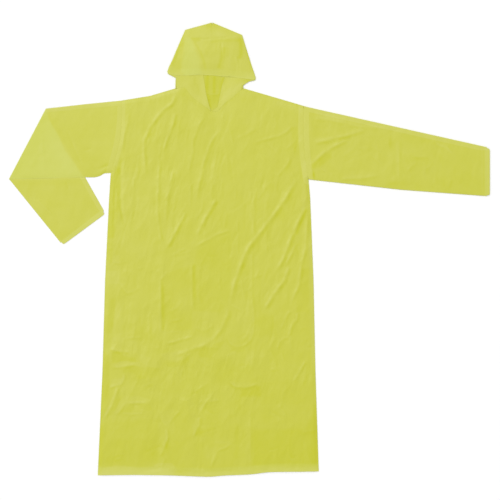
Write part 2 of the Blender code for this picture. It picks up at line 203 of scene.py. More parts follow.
def inside(places: Array, outline: Points | Array) -> Array:
    """How far places are inside a closed outline, negative outside it."""
    ring = np.asarray(outline, float)
    closed = np.vstack([ring, ring[:1]])
    crossings = np.zeros(len(places), int)
    for a, b in zip(closed, closed[1:]):
        spans = (a[1] > places[:, 1]) != (b[1] > places[:, 1])
        rise = b[1] - a[1] if b[1] != a[1] else TINY
        reach = a[0] + (places[:, 1] - a[1]) * (b[0] - a[0]) / rise
        crossings += spans & (places[:, 0] < reach)
    away = track(places, closed)[0]
    return np.where(crossings % 2 == 1, away, -away)


def ripple(places: Array, wavelength: float, seed: int) -> Array:
    """A soft, uneven swell between about -1 and 1.

    Args:
        places: points in plan.
        wavelength: usual distance between crests.
        seed: which of the possible swells.

    Returns:
        The swell's height at each place.
    """
    chance = np.random.default_rng(seed)
    total = np.zeros(len(places))
    for _ in range(SWELL_WAVES):
        heading = chance.uniform(0.0, math.tau)
        number = math.tau / (wavelength * chance.uniform(*SWELL_SPREAD))
        phase = chance.uniform(0.0, math.tau)
        total += np.sin(number * (places @ (math.cos(heading), math.sin(heading))) + phase)
    return total / math.sqrt(SWELL_WAVES / 2) / SWELL_PEAK


# ---- creases and tones


class Relief:
    """What the creases and tones of a surface come to at some places."""

    def __init__(self, count: int) -> None:
        """Starts flat and plain."""
        self.height = np.zeros(count)
        self.milk = np.zeros(count)
        self.beside = np.full(count, FAR)
        self.force = np.zeros(count)
        self.crumple = np.zeros(count)
        self.beneath = np.full(count, -FAR)
        self.lead = np.zeros(count)  # strength there of the crease that beside and force follow

    def tones(self, *shape: int) -> dict[str, Array]:
        """The channels that the film's shader reads, in rows where a shape is given."""
        names = ("milk", "beside", "force", "crumple", "beneath")
        return {name: getattr(self, name).reshape(*(shape or (-1,))) for name in names}


@dataclass(frozen=True)
class Crease:
    """One crease of the film, a soft ridge or, with a negative rise, a soft trough, with painted highlight
    on its lit side and painted shade on its lee side.
    """

    name: str
    line: Points
    rise: float
    reach: float
    wander: float = 1.0

    SPACING = 6.0
    SOFT_CREST = 1.0
    LIT_SIDE = 1.0  # the side away from the fall, in reaches
    FALLING_SIDE = 0.65
    LINE = 0.78  # width of the crease's painted highlight and shade lines, in reaches
    HEIGHT = 1.2  # share of the rise that shows as height
    HOLLOW = 0.22  # depth of the hollow beside the fall, as a share of the rise
    HOLLOW_PLACE = 1.9  # in reaches from the crest
    SPAN = 4.0  # in reaches, beyond which the crease isn't felt
    LEAD = 2.0  # in reaches, over which it gives way to a nearer one
    ANGULAR = 0.65  # share of straight stretches and corners, against a smooth curve
    WANDER_WAVES = (31.0, 53.0, 17.0)
    WANDER_SHARE = 0.1  # of the reach
    WANDER_REACH = 4.0  # beyond which a broad crease doesn't wander more
    TAPERS = (0.09, 0.15)  # shares of the length over which its start and end die out
    WAVE = 48.0  # from one strong stretch to the next
    SHORT_WAVE = 2.7  # how many smaller changes of strength one wave holds
    UNEVEN = 0.3  # how much its strength changes

    def path(self) -> Array:
        """The crest's line, which has soft corners and wanders a little."""
        line = smooth_curve(self.line, self.SPACING)
        if self.wander == 0.0:
            return line
        line += self.ANGULAR * (resample(self.line, len(line)) - line)
        chance = np.random.default_rng(sum(map(ord, self.name)))
        run = np.gradient(line, axis=0)
        run /= np.linalg.norm(run, axis=1)[:, None]
        steps = np.arange(len(line)) * self.SPACING
        shift = np.zeros(len(line))
        for wavelength in self.WANDER_WAVES:
            shift += np.sin(steps * math.tau / wavelength + chance.uniform(0.0, math.tau))
        ends = np.sin(np.linspace(0.0, math.pi, len(line)))
        shift *= self.wander * self.WANDER_SHARE * min(self.reach, self.WANDER_REACH) * ends
        return line + np.stack([run[:, 1], -run[:, 0]], 1) * shift[:, None]

    def falling_sign(self) -> float:
        """1 if the steep side is on the right of the line's direction, -1 if on the left."""
        run = np.subtract(self.line[-1], self.line[0])
        return 1.0 if run[1] * LEE[0] - run[0] * LEE[1] > 0 else -1.0

    def press(self, places: Array, relief: "Relief") -> None:
        """Adds the crease to a relief of some places."""
        path = self.path()
        span = self.SPAN * self.reach
        near = np.flatnonzero(((places > path.min(0) - span) & (places < path.max(0) + span)).all(1))
        if not len(near):
            return
        away, beside, along = track(places[near], path)
        lee = beside * self.falling_sign() / self.reach
        wide = self.reach * np.where(lee > 0, self.FALLING_SIDE, self.LIT_SIDE)
        crest = np.exp(-(np.hypot(away, self.SOFT_CREST) - self.SOFT_CREST) / wide)
        crest -= self.HOLLOW * np.exp(-((lee - self.HOLLOW_PLACE) ** 2))
        fade = np.clip(1.0 - (away / span) ** 2, 0.0, 1.0) ** 2
        start, end = self.TAPERS
        taper = smoothstep(0.0, start, along) * smoothstep(0.0, end, 1.0 - along)
        chance = np.random.default_rng(sum(map(ord, self.name)) + 1)
        waves = along * max(1.0, length_of(path) / self.WAVE)
        uneven = 1.0 + self.UNEVEN * np.sin(math.tau * (waves + chance.uniform()))
        uneven += self.UNEVEN / 2 * np.sin(math.tau * (waves * self.SHORT_WAVE + chance.uniform()))
        strength = self.rise * fade * taper * uneven
        relief.height[near] += self.HEIGHT * strength * crest
        lead = np.abs(strength) * np.exp(-away / (self.LEAD * self.reach))
        ahead = lead > relief.lead[near]
        which = near[ahead]
        relief.lead[which] = lead[ahead]
        relief.beside[which] = lee[ahead] / self.LINE
        relief.force[which] = strength[ahead]


def creases(*rows: tuple) -> tuple[Crease, ...]:
    """Creases from their values, row by row."""
    return tuple(Crease(*row) for row in rows)


@dataclass(frozen=True)
class Crinkles:
    """Many small creases, scattered over a stretch of film."""

    count: int
    low: Point
    high: Point
    heading: float  # usual direction, in degrees
    scatter: float
    length: Point
    rise: Point
    seed: int

    BEND = 0.16  # at most, as a share of half the length
    REACHES = (2.6, 4.2)

    def creases(self) -> list[Crease]:
        """The creases, each bent a little."""
        chance = np.random.default_rng(self.seed)
        made = []
        for number in range(self.count):
            middle = chance.uniform(self.low, self.high)
            heading = math.radians(self.heading + chance.normal(0.0, self.scatter))
            run = np.array([math.cos(heading), math.sin(heading)])
            half = chance.uniform(*self.length) / 2
            bend = np.array([-run[1], run[0]]) * half * chance.uniform(-self.BEND, self.BEND)
            line = (tuple(middle - run * half), tuple(middle + bend), tuple(middle + run * half))
            rise = chance.uniform(*self.rise) * chance.choice((-1.0, 1.0))
            reach = chance.uniform(*self.REACHES)
            made.append(Crease(f"crinkle{self.seed}_{number}", line, rise, reach))
        return made


@dataclass(frozen=True)
class Patch:
    """A soft round place where the film looks more milky, or less with a negative value; some are painted
    highlight and painted shade beside creases and edges.
    """

    middle: Point
    radii: Point
    milk: float

    def tone(self, places: Array) -> Array:
        """Milkiness, painted highlight or painted shade that the patch adds at each place."""
        off = (places - self.middle) / self.radii
        return self.milk * np.exp(-(off * off).sum(1))


@dataclass(frozen=True)
class Zone:
    """A place with an outline, such as a facet of the film, a layer that lies below it or painted shade
    beside a crease.
    """

    outline: Points
    milk: float
    soft: float = 1.8  # width of its edge

    def tone(self, places: Array) -> Array:
        """Milkiness, painted highlight or painted shade that the zone adds at each place."""
        return self.milk * smoothstep(-self.soft, self.soft, inside(places, self.outline))


@dataclass(frozen=True)
class Streak:
    """A line, such as a hidden edge or fold that shows through the film, a weld, or painted shade beside a
    fold or along an edge.
    """

    line: Points
    width: float
    milk: float

    TAPER = 0.12  # share of its length over which each end dies out

    def tone(self, places: Array) -> Array:
        """Milkiness, painted highlight or painted shade that the streak adds at each place."""
        away, _, along = track(places, smooth_curve(self.line, Crease.SPACING))
        ends = smoothstep(0.0, self.TAPER, along) * smoothstep(0.0, self.TAPER, 1.0 - along)
        return self.milk * ends * np.exp(-((away / (self.width / 2)) ** 2))


Mark = Patch | Zone | Streak


@dataclass(frozen=True)
class Surface:
    """The relief and the tones of one visible stretch of film."""

    creases: tuple[Crease, ...] = ()
    crinkles: tuple[Crinkles, ...] = ()
    marks: tuple[Mark, ...] = ()
    swell: float = 0.35
    seed: int = 1
    crumple: float = 0.4  # how crumpled the film is, where no patch changes it
    crumpled: tuple[Patch, ...] = ()
    beneath: Points = ()  # outline of layers that show through
    blur: float = 3.0  # of that outline

    LEVEL = 0.375  # milkiness at the middle of the garment
    EAST = -0.00018  # change towards the left sleeve, per millimetre; with NORTH, painted light that falls off away from the upper left, partly the film's own milkiness
    NORTH = 0.0003  # change towards the hood, per millimetre, the same painted fall-off of light
    CLOUD = 0.055  # uneven milkiness of the film itself
    PATCHY = 0.55  # how unevenly crumpled it is
    LEAST_PATCHY = 0.15
    SWELLS = ((0.7, 95.0), (0.3, 34.0))  # share and wavelength of each part of the swell
    CLOUDS = ((1.0, 60.0), (0.6, 22.0))  # and of the clouds
    PATCH_WAVE = 75.0

    def relief(self, places: Array) -> Relief:
        """Height above the smooth form, and tones, at each place."""
        relief = Relief(len(places))
        for number, (share, wavelength) in enumerate(self.SWELLS):
            relief.height += self.swell * share * ripple(places, wavelength, self.seed + number)
        small = [crease for group in self.crinkles for crease in group.creases()]
        for crease in (*self.creases, *small):
            crease.press(places, relief)
        relief.milk += self.LEVEL + self.EAST * places[:, 0] + self.NORTH * places[:, 1]
        for number, (share, wavelength) in enumerate(self.CLOUDS, len(self.SWELLS)):
            relief.milk += self.CLOUD * share * ripple(places, wavelength, self.seed + number)
        for mark in self.marks:
            relief.milk += mark.tone(places)
        relief.crumple += self.crumple + sum(patch.tone(places) for patch in self.crumpled)
        patchy = 1.0 + self.PATCHY * ripple(places, self.PATCH_WAVE, self.seed + 4)
        relief.crumple *= np.maximum(patchy, self.LEAST_PATCHY)
        if self.beneath:
            relief.beneath = np.clip(inside(places, self.beneath) / self.blur, -FAR, FAR)
        return relief


# ---- the cut, as it lies


@dataclass(frozen=True)
class Level:
    """Where the body lies at one height, and how wide it is from side seam to side seam."""

    centre_x: float
    width: float
    left_y: float
    right_y: float

    def end(self, side: Side) -> Point:
        """The place of this level on a side seam."""
        y = self.left_y if side is Side.LEFT else self.right_y
        return (self.centre_x + side.outwards * self.width / 2, y)


@dataclass(frozen=True)
class Cut:
    """The garment's seams and edges in plan, as it lies."""

    hem: Level = Level(-96, 508, -509, -518)
    knee: Level = Level(-94.4, 489.8, -283, -283)
    waist: Level = Level(-93.6, 479, -69, -69)
    chest: Level = Level(-92.8, 462, 120, 120)
    armpit: Level = Level(-92.7, 454.5, 162.2, 177.1)
    shoulder: Level = Level(-85.7, 419.7, 331, 343.6)
    shoulder_middle: Level = Level(-80.5, 299, 347.3, 354.2)
    left_bow: float = -5.0  # of the armhole, towards the left
    right_bow: float = 9.6
    hem_sag: Points = (  # from the left side seam
        (115, -509.6), (46, -510.6), (0, -515.6), (-57, -518.2), (-90, -520.9),
        (-115, -520.6), (-180, -518.2), (-253, -517), (-300, -517.2),
    )
    front_neck: Points = (
        (-171.6, 371.5), (-151.1, 374.9), (-131.3, 350.5), (-108, 333.5), (-89.7, 319.7),
        (-74.3, 319.7), (-58.4, 337.4), (-40.7, 349.6), (-20.9, 368.9), (-15.4, 371.9),
    )
    back_neck: Points = (
        (-171.6, 371.5), (-155, 365.6), (-136, 360.8), (-115, 357.6), (-93, 356.5),
        (-72, 357.6), (-51, 360.8), (-32, 365.6), (-15.4, 371.9),
    )

    ARMHOLE_POINTS = 41
    HEM_SPACING = 4.0

    def armhole(self, side: Side) -> Array:
        """The armhole seam, from the shoulder to the armpit."""
        share = np.linspace(0.0, 1.0, self.ARMHOLE_POINTS)[:, None]
        line = np.asarray(self.shoulder.end(side)) * (1 - share)
        line = line + np.asarray(self.armpit.end(side)) * share
        bow = self.left_bow if side is Side.LEFT else self.right_bow
        line[:, 0] += bow * np.sin(math.pi * share[:, 0])
        return line

    def side_seam(self, side: Side) -> Array:
        """A side seam, from the hem to the armpit."""
        levels = (self.hem, self.knee, self.waist, self.chest, self.armpit)
        return np.array([level.end(side) for level in levels])

    def hem_line(self) -> Array:
        """The bottom edge, from the right side seam to the left one."""
        ends = (self.hem.end(Side.RIGHT), *self.hem_sag[::-1], self.hem.end(Side.LEFT))
        return smooth_curve(ends, self.HEM_SPACING)

    def shoulder_line(self, side: Side, neck: Points) -> Array:
        """A shoulder's edge, from the neck to the armhole."""
        start = neck[-1] if side is Side.LEFT else neck[0]
        return np.array([start, self.shoulder_middle.end(side), self.shoulder.end(side)])

    def outline(self, neck: Points, spacing: float) -> Array:
        """A body panel's outline, anticlockwise from the hem's right end."""
        stretches = [
            self.hem_line(),
            self.side_seam(Side.LEFT),
            self.armhole(Side.LEFT)[::-1],
            self.shoulder_line(Side.LEFT, neck)[::-1],
            *(np.array(ends) for ends in zip(neck[::-1], neck[-2::-1])),
            self.shoulder_line(Side.RIGHT, neck),
            self.armhole(Side.RIGHT),
            self.side_seam(Side.RIGHT)[::-1],
        ]
        return np.vstack([spaced(line, spacing)[:-1] for line in stretches])


CUT = Cut()
THROAT = (-84.0, 321.0)
THROAT_REACH = 14.0


def throat_dip(places: Array) -> Array:
    """How much lower the layers lie round the foot of the neck's V, where they touch the back."""
    off = (places - THROAT) / THROAT_REACH
    return LAYER * np.exp(-(off * off).sum(1))


# ---- meshes


@dataclass
class Shell:
    """A closed shell's points and faces in millimetres, with a value of each channel at each point."""

    points: Array
    faces: Faces
    channels: dict[str, Array]

    SHARP = math.radians(50)

    def to_object(self, name: str) -> bpy.types.Object:
        """A mesh object of the shell, shaded smooth, with its faces pointing out."""
        mesh = bpy.data.meshes.new(name)
        mesh.from_pydata((self.points * METRES).tolist(), [], self.faces)
        shape = bmesh.new()
        shape.from_mesh(mesh)
        bmesh.ops.recalc_face_normals(shape, faces=shape.faces)
        shape.to_mesh(mesh)
        shape.free()
        mesh.shade_smooth()
        mesh.set_sharp_from_angle(angle=self.SHARP)
        for channel, values in self.channels.items():
            data = mesh.attributes.new(channel, "FLOAT", "POINT").data
            data.foreach_set("value", values.astype(np.float32))
        piece = bpy.data.objects.new(name, mesh)
        bpy.context.collection.objects.link(piece)
        return piece


@dataclass(frozen=True)
class Sheet:
    """What is declared of a piece as a sheet of cloth, in metres."""

    flat: Point
    area: float
    held: Held
    rests_on: tuple[str, ...] = ()


@dataclass(frozen=True)
class Piece:
    """One piece of the garment, which builds its shell and is dressed in film."""

    name: str
    node: str
    sheet: Sheet
    finish: "FilmFinish"

    def shell(self) -> Shell:
        """The piece's shell of film."""
        raise NotImplementedError

    def build(self) -> bpy.types.Object:
        """Makes the piece's mesh object."""
        return self.shell().to_object(self.name)

    def dress(self, piece: bpy.types.Object, film: Material) -> None:
        """Gives the piece its film and states what it stands for.

        Args:
            piece: the mesh object.
            film: the film's material.
        """
        piece.data.materials.append(film)
        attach(piece, BODY)
        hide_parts(self.node)
        count = sum(len(face.vertices) - 2 for face in piece.data.polygons)
        log.info("%s: %d triangles, stands for %s", piece.name, count, self.node)


# ---- body panels


@dataclass(frozen=True)
class Panel(Piece):
    """A body panel: a sheet of film inside its outline."""

    neck: Points
    low: float  # underside, away from the seams
    edge_low: float  # underside at the welded edges
    surface: Surface
    spacing: float
    groove: float = 0.2  # depth of a seam between two pieces

    EDGE_RISE = 8.0  # from a welded edge to the panel's full height
    STRIPS = {Side.LEFT: 12.0, Side.RIGHT: 8.5}  # allowance beside an armhole
    HEM = 20.0
    QUIET = (0.25, 9.0)  # share of the relief left at a seam, and how far from it all is there
    HEM_QUIET = (0.4, 14.0)
    WELD = 1.5  # width of the flat weld at an edge
    LOWEST = -0.55  # a trough below the smooth form
    INNERMOST = 0.55  # from the outline to the nearest inner points, in spacings
    MERGED = 0.001  # points nearer than this are one

    def plan(self) -> tuple[Array, Faces]:
        """The sheet's points in plan and its triangles."""
        outline = CUT.outline(self.neck, self.spacing)
        low, high = outline.min(0), outline.max(0)
        rows = np.arange(low[1], high[1], self.spacing * math.sqrt(3) / 2)
        columns = np.arange(low[0], high[0], self.spacing)
        grid = np.stack(np.meshgrid(columns, rows), -1)
        grid[1::2, :, 0] += self.spacing / 2
        grid = grid.reshape(-1, 2)
        grid = grid[inside(grid, outline) > self.spacing * self.INNERMOST]
        places = [Vector(place) for place in np.vstack([outline, grid])]
        ring = [list(range(len(outline)))]
        found, _, triangles, *_ = delaunay_2d_cdt(places, [], ring, 1, self.MERGED)
        return np.array([place[:] for place in found]), [tuple(face) for face in triangles]

    def shell(self) -> Shell:
        """The sheet, with its underside and its edges."""
        places, triangles = self.plan()
        from_armhole = {side: distance(places, CUT.armhole(side)) for side in Side}
        armholes = np.minimum(*from_armhole.values())
        welds = (line for side in Side for line in (CUT.shoulder_line(side, self.neck), CUT.side_seam(side)))
        welded = np.minimum.reduce([distance(places, weld) for weld in welds])
        neck = distance(places, self.neck)
        hem = distance(places, CUT.hem_line())
        relief = self.surface.relief(places)
        seams = np.minimum(armholes, neck)
        quiet = growing(*self.QUIET, seams) * smoothstep(0.0, self.EDGE_RISE, welded)
        quiet *= growing(*self.HEM_QUIET, hem)
        form = self.edge_low + (self.low - self.edge_low) * smoothstep(self.WELD, self.EDGE_RISE, welded)
        form -= self.groove * np.exp(-((seams / GROOVE_WIDTH) ** 2))
        if self.neck is CUT.front_neck:
            form -= throat_dip(places)
        under = form + np.maximum(relief.height * quiet, self.LOWEST)
        upper = under + WALL
        count = len(places)
        strip = np.minimum(*(from_armhole[side] / self.STRIPS[side] for side in Side))
        channels = {**relief.tones(), "strip": strip, "hem": hem / self.HEM}
        points = np.vstack([np.column_stack([places, upper]), np.column_stack([places, under])])
        faces = triangles + [tuple(i + count for i in face[::-1]) for face in triangles]
        borders: dict[tuple[int, int], tuple[int, int] | None] = {}
        for face in triangles:
            for a, b in zip(face, (*face[1:], face[0])):
                key = (min(a, b), max(a, b))
                borders[key] = None if key in borders else (a, b)
        faces += [(a, a + count, b + count, b) for a, b in filter(None, borders.values())]
        return Shell(points, faces, {name: np.tile(values, 2) for name, values in channels.items()})


# ---- sleeves


@dataclass(frozen=True)
class Ring:
    """One row of a sleeve: the middles between its two layers, from the top edge to the lower edge."""

    middles: Array
    normal: Array  # towards the outside of the front layer
    from_armhole: float
    from_cuff: float


@dataclass(frozen=True)
class Sleeve(Piece):
    """A sleeve: a tube of film, pressed flat."""

    surface: Surface
    back_surface: Surface
    half: float  # from the middle of the flattened tube to its outside
    armhole_lift: float  # extra height of the front layer at the armhole
    arm_strip: float  # allowance beside the armhole
    top_edge: Points  # from the armhole
    lower_edge: Points

    TOP_STRIP = 11.0
    CUFF = 12.5
    QUIET = (0.25, 10.0)  # the same from the armhole
    CUFF_QUIET = 0.3
    RIM_MILK = 0.5  # of the film's rounded edges
    EDGE_FADE = 7.0
    ROUND_STEPS = 5
    ROUND_REACH = 2.2  # from a rounded edge to the flat layers
    SPACING = 3.6
    CORNER = 7.0  # radius of the cuff's corners
    CORNER_REACH = 30.0  # length over which the rows follow them
    BOW_FADES = 40.0  # from the armhole, whose bow the rows follow at first
    GROOVE = 0.1
    LOWEST = -0.3
    LIFT_REACH = 32.0

    def rings(self) -> list[Ring]:
        """The rows of the sleeve, from the armhole to the cuff."""
        raise NotImplementedError

    def shell(self) -> Shell:
        """The tube through its rings, with both ends open."""
        rings = self.rings()
        middles = np.array([ring.middles for ring in rings])
        rows, across = middles.shape[:2]
        flat = middles[..., :2].reshape(-1, 2)
        steps = np.linalg.norm(np.diff(middles, axis=1), axis=2)
        from_top = np.hstack([np.zeros((rows, 1)), np.cumsum(steps, 1)])
        to_edge = np.minimum(from_top, from_top[:, -1:] - from_top)
        edges = smoothstep(0.0, self.EDGE_FADE, to_edge)
        from_armhole = np.array([ring.from_armhole for ring in rings])[:, None]
        from_cuff = np.array([ring.from_cuff for ring in rings])[:, None]
        fade = edges * growing(*self.QUIET, from_armhole) * growing(self.CUFF_QUIET, self.CUFF, from_cuff)
        groove = self.GROOVE * np.exp(-((from_armhole / GROOVE_WIDTH) ** 2))
        strip = np.minimum(from_top / self.TOP_STRIP, from_armhole / self.arm_strip)
        hem = np.broadcast_to(from_cuff / self.CUFF, strip.shape)
        normals = np.array([ring.normal for ring in rings])[:, None, :]
        lifts, tones = [], []
        for surface, sign in ((self.surface, 1.0), (self.back_surface, -1.0)):
            relief = surface.relief(flat)
            upwards = np.maximum(normals[..., 2] * sign, 0.0)
            height = np.maximum(relief.height.reshape(rows, across) * fade, self.LOWEST)
            height += self.armhole_lift * (1 - smoothstep(0.0, self.LIFT_REACH, from_armhole)) * edges
            lifts.append((height - groove) * upwards)
            tones.append({**relief.tones(rows, across), "strip": strip, "hem": hem})
        along = middles[:, :1] - middles[:, -1:]
        along = along / np.linalg.norm(along, axis=2)[..., None]
        inset = middles.copy()
        inset[:, 0] -= along[:, 0] * self.ROUND_REACH
        inset[:, -1] += along[:, 0] * self.ROUND_REACH
        turns = math.pi * (np.arange(self.ROUND_STEPS) + 1) / (self.ROUND_STEPS + 1)
        turns = turns[None, :, None]
        loops = []
        for wall in (0.0, WALL):
            half, reach = self.half - wall, self.ROUND_REACH - wall
            front = inset + normals * (half + lifts[0][..., None])
            lower = inset[:, -1:] + normals * np.cos(turns) * half - along * np.sin(turns) * reach
            back = (inset - normals * (half + lifts[1][..., None]))[:, ::-1]
            upper = inset[:, :1] + along * np.sin(turns) * reach - normals * np.cos(turns) * half
            loops.append(np.concatenate([front, lower, back, upper], 1))
        size = loops[0].shape[1]
        channels = {name: self._round(front, tones[1][name]) for name, front in tones[0].items()}
        for first in (across, 2 * across + self.ROUND_STEPS):
            channels["milk"][:, first : first + self.ROUND_STEPS] += self.RIM_MILK
        points = np.stack(loops, 1).reshape(-1, 3)
        values = {name: np.repeat(value[:, None, :], 2, 1).ravel() for name, value in channels.items()}
        return Shell(points, self._faces(rows, size), values)

    def _round(self, front: Array, back: Array) -> Array:
        """A channel's values round each ring, from those of its two layers."""
        lower = np.repeat(front[:, -1:], self.ROUND_STEPS, 1)
        upper = np.repeat(front[:, :1], self.ROUND_STEPS, 1)
        return np.concatenate([front, lower, back[:, ::-1], upper], 1)

    @staticmethod
    def _faces(rows: int, size: int) -> Faces:
        """Faces of a tube of film from its rings of an outer and an inner loop."""
        faces = []
        for i in range(size):
            j = (i + 1) % size
            for row in range(rows - 1):
                here, there = row * 2 * size, (row + 1) * 2 * size
                faces.append((here + i, there + i, there + j, here + j))
                faces.append((here + size + j, there + size + j, there + size + i, here + size + i))
            last = (rows - 1) * 2 * size
            faces.append((i, j, size + j, size + i))
            faces.append((last + j, last + i, last + size + i, last + size + j))
        return faces

    def _lengthwise(self, tops: Array, feet: Array, across: int) -> Array:
        """Middles in plan between a top edge and a lower edge, row by row."""
        share = np.linspace(0.0, 1.0, across)[None, :, None]
        return tops[:, None, :] * (1 - share) + feet[:, None, :] * share

    def _from_armhole(self, side: Side, top_edge: Points, lower_edge: Points) -> tuple[Array, Array]:
        """Rows that follow the armhole at first, then lie straight across.

        Args:
            side: whose armhole the rows start from.
            top_edge: the top edge's points beyond it.
            lower_edge: the lower edge's points beyond it.

        Returns:
            The rows of middles in plan, and how far each is from the armhole.
        """
        seam = CUT.armhole(side)
        top = np.vstack([seam[:1], top_edge])
        foot = np.vstack([seam[-1:], lower_edge])
        rows = round(length_of(top) / self.SPACING)
        across = round(length_of(seam) / self.SPACING)
        plan = self._lengthwise(resample(top, rows), resample(foot, rows), across)
        run = np.linspace(0.0, length_of(top), rows)
        seam = resample(seam, across)
        bow = seam - self._lengthwise(seam[:1], seam[-1:], across)[0]
        plan += (1 - smoothstep(0.0, self.BOW_FADES, run))[:, None, None] * bow[None]
        return plan, run

    def _round_corners(self, plan: Array) -> Array:
        """Rows of middles in plan, with both corners of the last one, the cuff, pulled in."""
        width = np.linalg.norm(plan[-1, 0] - plan[-1, -1])
        place = np.linspace(0.0, width, plan.shape[1])
        inset = np.clip(self.CORNER - np.minimum(place, width - place), 0.0, self.CORNER)
        pull = self.CORNER - np.sqrt(self.CORNER**2 - inset**2)
        run = plan[-1] - plan[-2]
        run /= np.linalg.norm(run, axis=1)[:, None]
        from_end = np.linalg.norm(plan - plan[-1:], axis=2)
        share = smoothstep(0.0, self.CORNER_REACH, self.CORNER_REACH - from_end)
        return plan - share[..., None] * pull[None, :, None] * run[None]


@dataclass(frozen=True)
class SpreadSleeve(Sleeve):
    """The left sleeve, which lies straight out."""

    half: float = 1.15
    armhole_lift: float = 0.0
    arm_strip: float = 12.0
    top_edge: Points = ((133.4, 328.4), (551.2, 235))
    lower_edge: Points = ((346.6, 138.6), (551.2, 123.4))

    def rings(self) -> list[Ring]:
        """Rows from the armhole to the cuff."""
        plan, run = self._from_armhole(Side.LEFT, self.top_edge, self.lower_edge)
        heights = np.full(plan.shape[1], self.half)
        return [
            Ring(np.column_stack([row, heights]), UP, done, run[-1] - done)
            for row, done in zip(self._round_corners(plan), run)
        ]


@dataclass(frozen=True)
class FoldedSleeve(Sleeve):
    """The right sleeve, folded at the elbow with its forearm below the upper arm."""

    half: float = 0.4
    armhole_lift: float = 1.0
    arm_strip: float = 9.0
    top_edge: Points = ((-380, 335.2),)
    lower_edge: Points = ((-335.8, 176.2), (-345, 170), (-356.5, 167.2), (-380, 167.2))
    elbow_top: Point = (-469, 325.6)
    elbow_lower: Point = (-554.3, 163)
    cuff_top: Point = (-332.3, 83.9)
    cuff_lower: Point = (-431, 11.2)
    fold_radius: float = 0.43
    fold_steps: int = 10
    foot_press: float = 0.42  # how much lower the upper arm's lower edge lies
    press_reach: float = 9.0
    drop_start: float = 8.0
    drop_end: float = 46.0

    def drop(self, places: Array) -> Array:
        """How high the upper arm lies over the forearm, and beside it."""
        start, end = np.array(self.elbow_top), np.array(self.cuff_top)
        run = (end - start) / np.linalg.norm(end - start)
        beyond = (places - start) @ (-run[1], run[0])
        return 2 * self.fold_radius * (1 - smoothstep(self.drop_start, self.drop_end, beyond))

    def rings(self) -> list[Ring]:
        """Rows of the upper arm, round the elbow's fold and along the forearm."""
        top, foot = np.array(self.elbow_top), np.array(self.elbow_lower)
        aim = (foot - top) / np.linalg.norm(foot - top)
        outwards = np.array([aim[1], -aim[0], 0.0])
        reach = self.fold_radius + self.half
        axis_top, axis_foot = top - outwards[:2] * reach, foot - outwards[:2] * reach
        edges = (*self.top_edge, axis_top), (*self.lower_edge, axis_foot)
        plan, run = self._from_armhole(Side.RIGHT, *edges)
        across = plan.shape[1]
        upper_length = run[-1]
        fore_length = math.dist(axis_top, self.cuff_top)
        made = []
        for row, done in zip(plan[:-1], run[:-1]):
            from_foot = np.linalg.norm(row - row[-1], axis=1)
            pressed = self.foot_press * (1 - smoothstep(0.0, self.press_reach, from_foot))
            height = self.half + np.maximum(self.drop(row) - pressed, 0.0)
            made.append(Ring(np.column_stack([row, height]), UP, done, upper_length + fore_length - done))
        axis = np.column_stack([plan[-1], np.full(across, reach)])
        for step in range(self.fold_steps + 1):
            turn = math.pi * step / self.fold_steps
            normal = UP * math.cos(turn) + outwards * math.sin(turn)
            made.append(Ring(axis + normal * self.fold_radius, normal, upper_length, fore_length))
        rows = round(fore_length / self.SPACING)
        tops = resample(np.array([axis_top, self.cuff_top]), rows)
        feet = resample(np.array([axis_foot, self.cuff_lower]), rows)
        plan = self._round_corners(self._lengthwise(tops, feet, across))
        for row, done in zip(plan[1:], np.linspace(0.0, fore_length, rows)[1:]):
            middles = np.column_stack([row, np.full(across, self.half)])
            made.append(Ring(middles, -UP, upper_length + done, fore_length - done))
        return made


# ---- hood


@dataclass(frozen=True)
class Section:
    """A cut across one half of the hood: where its layers start, at the side fold, and end."""

    name: str
    side: Point
    back: Point
    flank: Point | None
    brim: Point | None
    puff: float
    dip: float = 0.0  # how much of the flank's height is lost at its free edge
    sag: float = 0.0  # how much of the brim's height is lost over the neck opening


def sections(*rows: tuple) -> tuple[Section, ...]:
    """Sections from their values, row by row, from the neck to the top."""
    return tuple(Section(*row) for row in rows)


